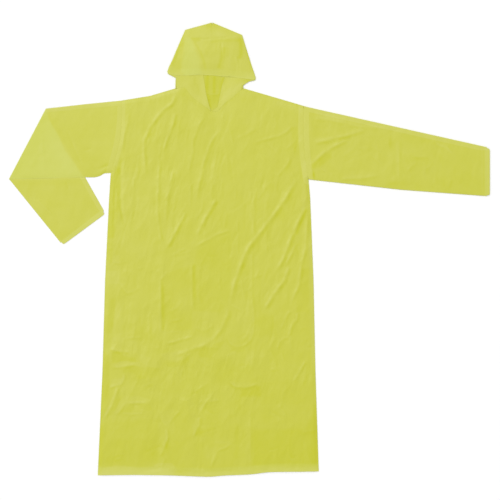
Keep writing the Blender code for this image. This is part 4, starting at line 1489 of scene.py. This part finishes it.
LEFT_SLEEVE_CREASES = creases(
    ("under_arm", ((138, 193), (170, 223), (209, 246), (230, 254)), 0.95, 4),
    ("upper_arm", ((147, 245), (223, 263), (267, 276)), 0.8, 4.2),
    ("upper_arm_top", ((143, 301), (184, 298), (258, 282), (308, 281)), 0.35, 3.6),
    ("elbow_line", ((343, 253), (343, 207), (343, 161)), 0.3, 3, 0),
    ("elbow_upright", ((274, 258), (274, 228)), 0.2, 2.6),
    ("elbow_upright_outer", ((292, 255), (294, 225), (297, 202)), 0.25, 2.8),
    ("elbow_cross", ((278, 218), (290, 207), (301, 193)), -0.3, 2.8),
    ("elbow_shadow", ((319, 260), (319, 232)), 0.3, 3.2),
    ("forearm_fan", ((363, 182), (370, 191), (384, 202)), 0.4, 3.2),
    ("forearm_crest", ((375, 216), (391, 213), (412, 215)), 0.35, 3.4),
    ("forearm_arc", ((419, 202), (412, 191), (400, 184)), 0.35, 2.8),
    ("forearm_top", ((423, 251), (435, 238), (448, 236)), 0.4, 3),
    ("forearm_top_outer", ((451, 239), (460, 229), (465, 223)), 0.4, 2.8),
    ("lower_edge", ((209, 162), (267, 166), (299, 172)), 0.5, 3.2),
    ("arm_crumple", ((161, 186), (172, 181), (181, 170)), 0.3, 2.8),
    ("forearm_patch", ((462, 163), (457, 147), (444, 136)), 0.3, 3),
    ("middle_flat", ((221, 190), (244, 191)), 0.2, 2.4),
    ("middle_short", ((195, 223), (191, 214)), 0.25, 2.6),
)

LEFT_SLEEVE_CRINKLES = (
    Crinkles(30, (140, 140), (340, 290), 25, 16, (30, 80), (0.08, 0.22), 15),
    Crinkles(30, (340, 130), (540, 250), 80, 30, (20, 50), (0.06, 0.16), 19),
)

LEFT_SLEEVE_MARKS = (
    # the whole sleeve and its cuff
    Patch((380, 200), (260, 120), 0.09),
    Streak(((533, 238), (533, 180), (533, 124)), 4, 0.22),
    Zone(((345, 281), (529, 241), (529, 124), (345, 133)), -0.05, 4),
    Patch((501, 156), (38, 22), -0.08),
    # upper arm
    # painted shade on the lee side of the crease under the arm
    Zone(((140, 193), (175, 220), (186, 223), (186, 212), (170, 198), (156, 189), (140, 185)), -0.42, 2.5),
    # painted shade on the lee side of the upper arm's crease
    Zone(((179, 246), (216, 255), (207, 248), (179, 241)), -0.14, 2),
    Patch((146, 172), (3, 9), -1.1),
    Zone(((143, 299), (175, 297), (179, 262), (143, 260)), -0.14, 5),
    # painted shade on the lee side of the upper arm's crease and painted highlight on its lit side
    Streak(((189, 246), (235, 262), (248, 267)), 7, -0.2),
    Streak(((145, 251), (166, 255), (186, 258)), 9, 0.14),
    # painted highlight and painted shade on the two sides of the crease along the lower edge
    Streak(((212, 169), (248, 170), (294, 177)), 10, 0.14),
    Streak(((230, 159), (258, 158), (285, 161)), 6, -0.14),
    # the weld along the top edge
    Zone(((156, 317), (230, 297), (221, 292), (152, 304)), 0.14, 2.5),
    Zone(((228, 297), (308, 283), (308, 278), (230, 285)), 0.12, 2.5),
    Streak(((156, 309), (193, 304), (221, 297)), 13, 0.2),
    # elbow and forearm
    Patch((336, 152), (22, 7), -0.3),
    # painted shade on the lee sides and painted highlight on the lit sides of the elbow's and forearm's
    # creases
    Patch((324, 244), (7, 14), -0.16),
    Streak(((338, 251), (338, 207), (338, 166)), 5, 0.16),
    Patch((375, 225), (18, 7), 0.12),
    Patch((393, 209), (18, 5), -0.12),
    Patch((373, 198), (9, 6), 0.1),
    Patch((405, 251), (16, 6), -0.2),
    Streak(((428, 246), (439, 240), (451, 237)), 7, 0.18),
    Streak(((453, 236), (460, 228), (465, 221)), 6, 0.16),
)

RIGHT_SLEEVE_CREASES = creases(
    ("upper_trough", ((-421, 274), (-405, 237), (-386, 193)), -0.38, 2.6),
    ("upper_dimple", ((-384, 228), (-373, 230), (-363, 235)), -0.42, 2),
    ("arm_pit_right", ((-354, 182), (-336, 191), (-322, 195)), -0.38, 2.6),
    ("fold_line", ((-478, 262), (-476, 225), (-474, 193)), 0.3, 2.1),
)

RIGHT_SLEEVE_CRINKLES = (
    Crinkles(10, (-520, 170), (-310, 330), 250, 30, (20, 50), (0.05, 0.12), 25),
)

FOREARM_CREASES = creases(
    ("forearm_short", ((-423, 156), (-416, 140)), -0.34, 2.6),
    ("forearm_side", ((-488, 117), (-467, 94), (-453, 83)), 0.38, 2.6),
)

FOREARM_CRINKLES = (
    Crinkles(8, (-520, 30), (-350, 160), 300, 30, (20, 50), (0.05, 0.12), 16),
)

FOREARM_MARKS = (
    Patch((-450, 100), (130, 110), -0.06),
    Streak(((-446, 1), (-318, 94)), 22, 0.12),
    # a paler line right below the upper arm's lower edge, painted light that lifts the shadow there
    Streak(((-560, 161), (-460, 164), (-350, 166)), 3, 0.3),
    # painted shadow of the upper arm's lower edge on the forearm
    Streak(((-556, 152), (-460, 154), (-360, 158)), 16, -0.14),
)

ELBOW_ZONE = (
    (-468, 330), (-464, 305), (-455, 287), (-438, 259), (-427, 231), (-405, 202), (-390, 179),
    (-377, 160), (-560, 150), (-575, 170)
)
ELBOW_INNER_ZONE = ((-466, 300), (-486, 238), (-481, 160), (-379, 160))

RIGHT_SLEEVE_MARKS = (
    Patch((-380, 260), (110, 120), -0.15),
    Patch((-330, 190), (14, 14), -0.3),
    Streak(((-478, 325), (-514, 240), (-552, 168)), 86, -0.34),
    # along the forearm's hidden edge below: painted highlight on its lit side and painted shade beyond it,
    # where the upper arm drapes over it
    Streak(((-452, 262), (-440, 231), (-423, 202), (-402, 178)), 26, 0.16),
    Streak(((-448, 290), (-412, 230), (-398, 205)), 7, -0.12),
    Zone(ELBOW_INNER_ZONE, 0.18, 2.5),
    Streak(((-474, 316), (-514, 240), (-550, 172)), 10, -0.12),
    Streak(((-485, 242), (-487, 212), (-486, 185)), 4, 0.12),
)

TUCKED_LAYERS = (
    (-149, 489), (-139, 487), (-131, 474), (-125, 456), (-116, 438), (-115, 419), (-112, 402), (-148, 400),
    (-158, 410), (-157, 430), (-151, 456)
)

VISOR_CREASES = creases(
    ("visor_left_line", ((-66, 478), (-64, 440), (-72, 415)), -0.34, 2.1),
    ("visor_left_fold", ((-32, 447), (-28, 425), (-27, 412)), 0.38, 2.1),
    ("visor_top", ((-126, 488), (-105, 484), (-45, 489)), -0.26, 2.1),
)

VISOR_MARKS = (
    # the whole brim and the temples
    Patch((-90, 440), (110, 60), 0.08),
    Patch((-150, 476), (18, 14), -0.16),
    Patch((-14, 424), (26, 24), 0.12),
    Streak(((-150, 497), (-175, 437), (-183, 421)), 8, -0.5),
    Streak(((-9, 460), (-2, 437), (5, 416)), 6, -0.3),
    # layers tucked below on the right
    Patch((-132, 424), (13, 26), 0.2),
    Patch((-122, 407), (9, 7), 0.12),
    Streak(((-153, 482), (-172, 424), (-170, 404)), 36, -0.34),
    # crown
    Zone(((-136, 488), (-113, 488), (-113, 481), (-124, 476)), -0.34, 1.6),
    Patch((-99, 492), (20, 9), 0.14),
    Patch((-68, 496), (11, 7), 0.3),
    Patch((-44, 491), (17, 5), 0.18),
    Patch((-90, 516), (14, 6), -0.5),
    Patch((-25, 484), (7, 8), -0.2),
    Streak(((-94, 477), (-64, 481), (-21, 482)), 8, -0.32),
    Streak(((-136, 485), (-115, 484)), 6, -0.36),
    # the flanks' edges, which show through
    Streak(((-132, 485), (-113, 453), (-103, 421), (-103, 409)), 5, -0.4),
    Streak(((-120, 451), (-113, 432), (-109, 414)), 5, 0.1),
    Streak(((-60, 469), (-61, 453), (-72, 414)), 11, -0.6),
    Streak(((-49, 465), (-52, 444)), 5, -0.22),
    Streak(((-41, 474), (-46, 442), (-48, 412)), 13, 0.14),
    Streak(((-22, 490), (-20, 455), (-25, 436)), 9, -0.7),
    Streak(((-101, 461), (-100, 448)), 6, -0.12),
    Streak(((-77, 474), (-78, 455)), 6, -0.2),
    # the brim's edge
    Streak(((-117, 408), (-97, 409), (-71, 408)), 9, 0.26),
    Streak(((-53, 401), (-28, 399), (0, 398)), 7, 0.16),
    Patch((-2, 398), (8, 6), 0.3),
)

FLANK_MARKS = (
    Patch((-90, 368), (120, 60), 0.18),
    Streak(((-126, 398), (-126, 375)), 8, -0.26),
    Streak(((-122, 382), (-116, 359)), 4, -0.18),
    Streak(((-113, 400), (-105, 345), (-99, 327)), 11, 0.24),
    Patch((-118, 352), (9, 6), 0.14),
    Zone(((-16, 384), (-32, 382), (-48, 373), (-62, 356), (-68, 338), (-64, 336), (-21, 375)), 0.26, 3.5),
    Patch((-56, 385), (11, 14), -0.16),
    # painted shade just below the brim's edge on the left
    Patch((-7, 390), (8, 3.5), -0.6),
    Streak(((-51, 392), (-32, 391), (-16, 391)), 6, -0.16),
)

LINING_CREASES = creases(
    ("neck_fold_right", ((-96, 405), (-95, 372)), -0.25, 2, 0),
    ("neck_fold_centre", ((-83, 405), (-83, 370)), -0.25, 2, 0),
    ("neck_fold_left", ((-66, 402), (-70, 372)), -0.25, 2, 0),
)

BACK_MARKS = (
    Patch((-85, 345), (60, 30), -0.2),
)

LINING_MARKS = (
    Patch((-85, 373), (90, 90), -0.48),
    Patch((-80, 329), (10, 13), 0.28),
    # painted shade along the right fold inside the neck opening
    Streak(((-97, 404), (-100, 372), (-98, 358)), 8, -0.5),
    # painted shadow of the right flank's free edge
    Streak(((-98, 362), (-94, 338), (-91, 324)), 4.6, -0.7),
    # painted shade along the middle and left folds
    Streak(((-81, 402), (-82, 380), (-83, 358)), 6, -0.5),
    Streak(((-61, 398), (-67, 375), (-70, 352)), 5, -0.5),
    Streak(((-88, 396), (-90, 370), (-89, 345)), 5, 0.12),
    Streak(((-73, 396), (-76, 368), (-77, 340)), 5, 0.1),
)


# ---- finishes


class Value:
    """A number inside a shader, which Python sums turn into Math nodes."""

    def __init__(self, tree: "Nodes", socket: Socket) -> None:
        """Wraps an output socket of a tree."""
        self.tree = tree
        self.socket = socket

    def _math(self, operation: str, *operands: "Value | float") -> "Value":
        """The result of a Math node on some operands."""
        made = self.tree.add("ShaderNodeMath", {"operation": operation}, dict(enumerate(operands)))
        return Value(self.tree, made.outputs[0])

    def __add__(self, other: "Value | float") -> "Value":
        """The sum."""
        return self._math("ADD", self, other)

    __radd__ = __add__

    def __sub__(self, other: "Value | float") -> "Value":
        """The difference."""
        return self._math("SUBTRACT", self, other)

    def __rsub__(self, other: "Value | float") -> "Value":
        """The difference, the other way round."""
        return self._math("SUBTRACT", other, self)

    def __mul__(self, other: "Value | float") -> "Value":
        """The product."""
        return self._math("MULTIPLY", self, other)

    __rmul__ = __mul__

    def rise(self, low: float, high: float) -> "Value":
        """0 below low, 1 above high and a smooth rise between them."""
        inputs = {"Value": self, "From Min": low, "From Max": high}
        made = self.tree.add("ShaderNodeMapRange", {"interpolation_type": "SMOOTHSTEP"}, inputs)
        return Value(self.tree, made.outputs["Result"])

    def bell(self, middle: float, width: float) -> "Value":
        """1 at the middle, fading smoothly to 0 on both sides."""
        off = (self - middle) * (1 / width)
        fall = off * off * -1.0
        return fall._math("EXPONENT", fall)

    def band(self, low: float, high: float, soft: float) -> "Value":
        """1 between low and high and 0 outside them."""
        return self.rise(low - soft, low + soft) * (1 - self.rise(high - soft, high + soft))


class Nodes:
    """A material's nodes."""

    SHIFT_SCALE = 0.9  # of the noise that bends the shards' edges, in shards
    SHIFT = (0.6, 0.6, 0.6)
    HALF = 0.5  # middle of a node's values from 0 to 1
    SHARD_MIDDLE = 0.45  # usual depth from a shard's peak

    def __init__(self, name: str) -> None:
        """Makes a material with its shader."""
        self.material = bpy.data.materials.new(name)
        self.material.use_nodes = True
        self.tree = self.material.node_tree
        self.shader = self.tree.nodes["Principled BSDF"]

    def add(
        self, kind: str, settings: dict[str, Any] | None = None, inputs: dict[str | int, Any] | None = None
    ) -> bpy.types.Node:
        """Adds a node.

        Args:
            kind: the node's type.
            settings: its properties, which are set first.
            inputs: a value, an output socket or a Value for each socket, by name or place.

        Returns:
            The node.
        """
        node = self.tree.nodes.new(kind)
        for name, value in (settings or {}).items():
            setattr(node, name, value)
        for name, value in (inputs or {}).items():
            self.join(node.inputs[name], value)
        return node

    def join(self, socket: Socket, value: Any) -> None:
        """Links a socket to an output, or sets its value."""
        if isinstance(value, Value):
            value = value.socket
        if isinstance(value, Socket):
            self.tree.links.new(value, socket)
        else:
            socket.default_value = value

    def feed(self, name: str, value: Any) -> None:
        """Joins one of the shader's own sockets."""
        self.join(self.shader.inputs[name], value)

    def channel(self, name: str) -> Value:
        """A channel of the mesh."""
        node = self.add("ShaderNodeAttribute", {"attribute_type": "GEOMETRY", "attribute_name": name})
        return Value(self, node.outputs["Fac"])

    def noise(self, place: Socket, scale: float, detail: float, distortion: float = 0.0) -> Value:
        """Soft noise around zero."""
        inputs = {"Vector": place, "Scale": scale, "Detail": detail, "Distortion": distortion}
        return Value(self, self.add("ShaderNodeTexNoise", {}, inputs).outputs["Fac"]) - self.HALF

    def shards(self, place: Socket, width: float, length: float, lean: float) -> tuple[Value, Value]:
        """Uneven shards, as the facets of crumpled film.

        Args:
            place: the place, in metres.
            width: usual width of a shard, in millimetres.
            length: usual length.
            lean: angle by which their length leans to the right.

        Returns:
            A number for each shard, around zero, and the depth from its peak.
        """
        scale = (width * METRES, length * METRES, length * METRES)
        inputs = {"Vector": place, "Rotation": (0.0, 0.0, -lean), "Scale": scale}
        turned = self.add("ShaderNodeMapping", {"vector_type": "TEXTURE"}, inputs).outputs[0]
        inputs = {"Vector": turned, "Scale": self.SHIFT_SCALE, "Detail": 1.0}
        shift = self.add("ShaderNodeTexNoise", {}, inputs).outputs["Color"]
        wavering = self.vector("MULTIPLY_ADD", shift, self.SHIFT, turned)
        settings = {"voronoi_dimensions": "2D", "distance": "MANHATTAN"}
        cell = self.add("ShaderNodeTexVoronoi", settings, {"Vector": wavering, "Scale": 1.0})
        chance, depth = Value(self, cell.outputs["Color"]), Value(self, cell.outputs["Distance"])
        return chance - self.HALF, depth - self.SHARD_MIDDLE

    def vector(self, operation: str, *operands: Any) -> Socket:
        """The result of a Vector Math node on some operands."""
        made = self.add("ShaderNodeVectorMath", {"operation": operation}, dict(enumerate(operands)))
        return made.outputs[0]

    def blend(self, factor: Value, low: Any, high: tuple[float, ...]) -> Socket:
        """A colour between two, and beyond them where the factor is below 0 or above 1."""
        settings = {"data_type": "RGBA", "clamp_factor": False}
        low = low if isinstance(low, Socket) else (*low, 1.0)
        return self.add("ShaderNodeMix", settings, {0: factor, 6: low, 7: (*high, 1.0)}).outputs[2]


@dataclass(frozen=True)
class FilmFinish:
    """Thin milky film, satin, with fine crinkles, lighter welded and turned edges, and painted highlight and
    shade along its creases.
    """

    name: str
    crease_light_and_shade: float = 0.32  # painted highlight on a crest's lit side and painted shade on its lee side, for each millimetre of its rise
    # strength of a crease's painted shade against its painted highlight
    shade_share: float = 0.9
    strip_milk: float = 0.48
    hem_milk: float = 0.84
    hem_fade: float = 0.88  # how much of it is lost at the inner edge of the hem
    rim_highlight: float = 0.0  # painted highlight right at the open edge, which lifts the dark line along the brim's edge
    deep: Triple = (0.532, 0.541, 0.028)
    milky: Triple = (0.575, 0.580, 0.090)
    roughness: float = 0.48
    crinkle: float = 0.25  # depth of the fine crinkles in millimetres
    facet: Triple = (14.0, 26.0, 0.3)  # width, length and lean of crumpled film's facets
    facet_depth: float = 2.3  # in crinkle depths
    facet_milk: float = 0.05
    fold: Triple = (34.0, 75.0, 0.15)  # and of its broad facets
    fold_milk: float = 0.11
    beneath_milk: float = 0.26  # where more layers lie below
    layered: Triple = (0.545, 0.625, 0.11)  # greener where film lies on film
    layered_share: float = 0.25
    hem_layered: float = 0.3  # how much of that a turned hem shows

    FINE = (140.0, 3.0, 0.4)  # scale, detail and distortion of the finest crinkles
    BROAD = (38.0, 2.0, 0.8)
    FOLD_HEIGHT = 3.1  # of the broad facets, in heights of the small ones
    STRIP_EDGE = (0.94, 1.06)  # where the strip's channel leaves the strip
    SEAM_LINE = (0.02, 0.12)
    HEM_EDGE = (0.97, 1.03)  # where the hem's channel leaves the hem
    HEM_WELD = (0.86, 0.98, 0.03)
    # where the painted highlight at an open edge fades, in shares of the hem's depth
    RIM = (0.04, 0.2)
    LIT_LINE = (-0.9, 1.0)  # middle and width of a crease's painted highlight line, in the channel's widths
    # middle and width of a crease's painted shade line
    SHADE_LINE = (1.3, 1.2)
    FINE_MILK, BROAD_MILK = 0.04, 0.06
    SEAM_SHADE, WELD_SHADE = 0.08, 0.12  # milkiness lost along them
    FINE_ROUGH, STRIP_ROUGH = 0.12, 0.04
    FINE_HEIGHT, STRIP_HEIGHT, HEM_HEIGHT, SEAM_DEPTH = 0.35, 0.5, 0.6, 0.3  # in crinkle depths
    BUMP = 0.7

    def make(self) -> Material:
        """The film's material."""
        nodes = Nodes(self.name)
        place = nodes.add("ShaderNodeTexCoord").outputs["Object"]
        names = ("milk", "strip", "hem", "beside", "force", "crumple", "beneath")
        milk, strip, hem, beside, force, crumple, beneath = (nodes.channel(name) for name in names)
        fine = nodes.noise(place, *self.FINE)
        broad = nodes.noise(place, *self.BROAD)
        facet, facet_peak = nodes.shards(place, *self.facet)
        fold, fold_peak = nodes.shards(place, *self.fold)
        below = beneath.rise(-1.0, 1.0)
        in_strip = 1 - strip.rise(*self.STRIP_EDGE)
        seam_line = 1 - strip.rise(*self.SEAM_LINE)
        in_hem = 1 - hem.rise(*self.HEM_EDGE)
        hem_weld = hem.band(*self.HEM_WELD)
        # painted highlight on each crease's lit side and painted shade on its lee side
        crease = force * (beside.bell(*self.LIT_LINE) - beside.bell(*self.SHADE_LINE) * self.shade_share)
        tone = milk + fine * self.FINE_MILK + broad * self.BROAD_MILK + crease * self.crease_light_and_shade
        tone = tone + (facet * self.facet_milk + fold * self.fold_milk) * crumple + below * self.beneath_milk
        tone = tone + in_strip * self.strip_milk - seam_line * self.SEAM_SHADE
        tone = tone + in_hem * (1 - hem * self.hem_fade) * self.hem_milk - hem_weld * self.WELD_SHADE
        # painted highlight right at an open edge
        tone = tone + (1 - hem.rise(*self.RIM)) * self.rim_highlight
        colour = nodes.blend(tone, self.deep, self.milky)
        layers = (below + in_hem * self.hem_layered) * self.layered_share
        nodes.feed("Base Color", nodes.blend(layers, colour, self.layered))
        nodes.feed("Roughness", self.roughness + fine * self.FINE_ROUGH + in_strip * self.STRIP_ROUGH)
        height = fine * self.FINE_HEIGHT + broad + in_strip * self.STRIP_HEIGHT
        height = height + (in_hem - hem_weld) * self.HEM_HEIGHT - seam_line * self.SEAM_DEPTH
        height = height + (facet_peak + fold_peak * self.FOLD_HEIGHT) * crumple * self.facet_depth
        inputs = {"Strength": self.BUMP, "Distance": self.crinkle * METRES, "Height": height}
        bump = nodes.add("ShaderNodeBump", {}, inputs)
        nodes.feed("Normal", bump.outputs["Normal"])
        return nodes.material


@dataclass(frozen=True)
class FloorFinish:
    """Matt white paper."""

    name: str = "floor_paper"
    colour: Triple = (0.94, 0.94, 0.94)
    roughness: float = 0.9
    specular: float = 0.1
    grain: Point = (220.0, 2.0)  # scale and detail
    grain_tone: float = 0.02

    def make(self) -> Material:
        """The floor's material."""
        nodes = Nodes(self.name)
        place = nodes.add("ShaderNodeTexCoord").outputs["Object"]
        grain = nodes.noise(place, *self.grain) + nodes.HALF
        paler = tuple(value + self.grain_tone for value in self.colour)
        nodes.feed("Base Color", nodes.blend(grain, self.colour, paler))
        nodes.feed("Roughness", self.roughness)
        nodes.feed("Specular IOR Level", self.specular)
        return nodes.material


# ---- studio


@dataclass(frozen=True)
class SoftLight:
    """A square soft light that faces the garment."""

    name: str
    place: Triple  # in metres
    size: float
    watts: float

    def build(self) -> None:
        """Adds the light."""
        data = bpy.data.lights.new(self.name, "AREA")
        data.shape = "SQUARE"
        data.size = self.size
        data.energy = self.watts
        lamp = bpy.data.objects.new(self.name, data)
        lamp.location = self.place
        lamp.rotation_euler = (-Vector(self.place)).to_track_quat("-Z", "Y").to_euler()
        bpy.context.scene.collection.objects.link(lamp)


@dataclass(frozen=True)
class Studio:
    """The floor, the light and the camera straight above."""

    view_width: float = 1.15  # metres of floor across the picture
    lens: float = 100.0
    sensor: float = 36.0
    sight: float = 50.0  # how far the camera sees, in metres
    floor_size: float = 16.0
    floor_drop: float = 0.0004
    world_strength: float = 0.78
    light: SoftLight = SoftLight("key_light", (-8.4, 8.4, 20.5), 6.6, 2000.0)

    def build(self) -> None:
        """Makes the floor, the light, the world and the camera."""
        self.floor()
        self.light.build()
        world = bpy.data.worlds.new("studio_air")
        world.use_nodes = True
        air = world.node_tree.nodes["Background"]
        air.inputs["Color"].default_value = (1.0, 1.0, 1.0, 1.0)
        air.inputs["Strength"].default_value = self.world_strength
        bpy.context.scene.world = world
        bpy.context.scene.view_settings.view_transform = "Standard"
        self.camera()

    def floor(self) -> None:
        """Adds the floor."""
        half = self.floor_size / 2
        corners = [(x * half, y * half, -self.floor_drop) for x, y in ((-1, -1), (1, -1), (1, 1), (-1, 1))]
        mesh = bpy.data.meshes.new("floor")
        mesh.from_pydata(corners, [], [(0, 1, 2, 3)])
        mesh.materials.append(FloorFinish().make())
        floor = bpy.data.objects.new("floor", mesh)
        bpy.context.scene.collection.objects.link(floor)

    def camera(self) -> None:
        """Adds the camera, which looks straight down with the hood at the top."""
        data = bpy.data.cameras.new("camera")
        data.lens = self.lens
        data.sensor_width = self.sensor
        data.clip_end = self.sight
        camera = bpy.data.objects.new("camera", data)
        camera.location = (0.0, 0.0, self.view_width * self.lens / self.sensor)
        bpy.context.scene.collection.objects.link(camera)
        bpy.context.scene.camera = camera


# ---- the garment


def garment() -> list[Piece]:
    """The six pieces, each with its finish."""
    panel_film = FilmFinish("panel_film")
    sleeve_film = FilmFinish("sleeve_film", hem_milk=0.56, hem_fade=0.35)
    # the hood's film has a painted highlight along the brim's edge
    hood_film = FilmFinish("hood_film", strip_milk=0.12, hem_milk=0.2, hem_fade=0.5, rim_highlight=0.25)
    return [
        Panel(
            "back_panel", "back", Sheet((0.507, 0.893), 0.411, Held.LAID), panel_film,
            CUT.back_neck, low=0.02, edge_low=0.02, spacing=5.0, groove=0.0,
            surface=Surface(marks=(*BACK_MARKS, *LINING_MARKS), swell=0.0, seed=31),
        ),
        Panel(
            "front_panel", "front", Sheet((0.507, 0.897), 0.414, Held.LAID, ("back_panel",)), panel_film,
            CUT.front_neck, low=1.85, edge_low=0.5, spacing=3.15,
            surface=Surface(FRONT_CREASES, FRONT_CRINKLES, FRONT_MARKS, 0.35, 21, 0.55, FRONT_CRUMPLED),
        ),
        SpreadSleeve(
            "left_sleeve_tube", "left_sleeve", Sheet((0.34, 0.44), 0.118, Held.LAID), sleeve_film,
            Surface(LEFT_SLEEVE_CREASES, LEFT_SLEEVE_CRINKLES, LEFT_SLEEVE_MARKS, 0.3, 41),
            Surface(swell=0.0, seed=42),
        ),
        FoldedSleeve(
            "right_sleeve_tube", "right_sleeve", Sheet((0.38, 0.44), 0.132, Held.FOLDED), sleeve_film,
            Surface(
                RIGHT_SLEEVE_CREASES, RIGHT_SLEEVE_CRINKLES, RIGHT_SLEEVE_MARKS, 0.3, 51, 0.15,
                beneath=ELBOW_ZONE,
            ),
            Surface(FOREARM_CREASES, FOREARM_CRINKLES, FOREARM_MARKS, 0.3, 52, 0.15),
        ),
        *(
            HoodHalf(
                f"hood_{side.value}_half", f"hood_{side.value}",
                Sheet((0.26, 0.17), 0.027, Held.FOLDED), hood_film, side,
                Surface(VISOR_CREASES, (), VISOR_MARKS, 0.4, 61, beneath=TUCKED_LAYERS, blur=5.0),
                Surface(marks=FLANK_MARKS, swell=0.3, seed=62),
                Surface(LINING_CREASES, marks=LINING_MARKS, swell=0.0, seed=63),
            )
            for side in Side
        ),
    ]


def main() -> None:
    """Builds and dresses the pieces and the studio."""
    logging.basicConfig(level=logging.INFO, format="%(message)s")
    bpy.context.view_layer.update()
    films: dict[FilmFinish, Material] = {}
    for part in garment():
        if part.finish not in films:
            films[part.finish] = part.finish.make()
        part.dress(part.build(), films[part.finish])
    Studio().build()


if __name__ == "__main__":
    main()
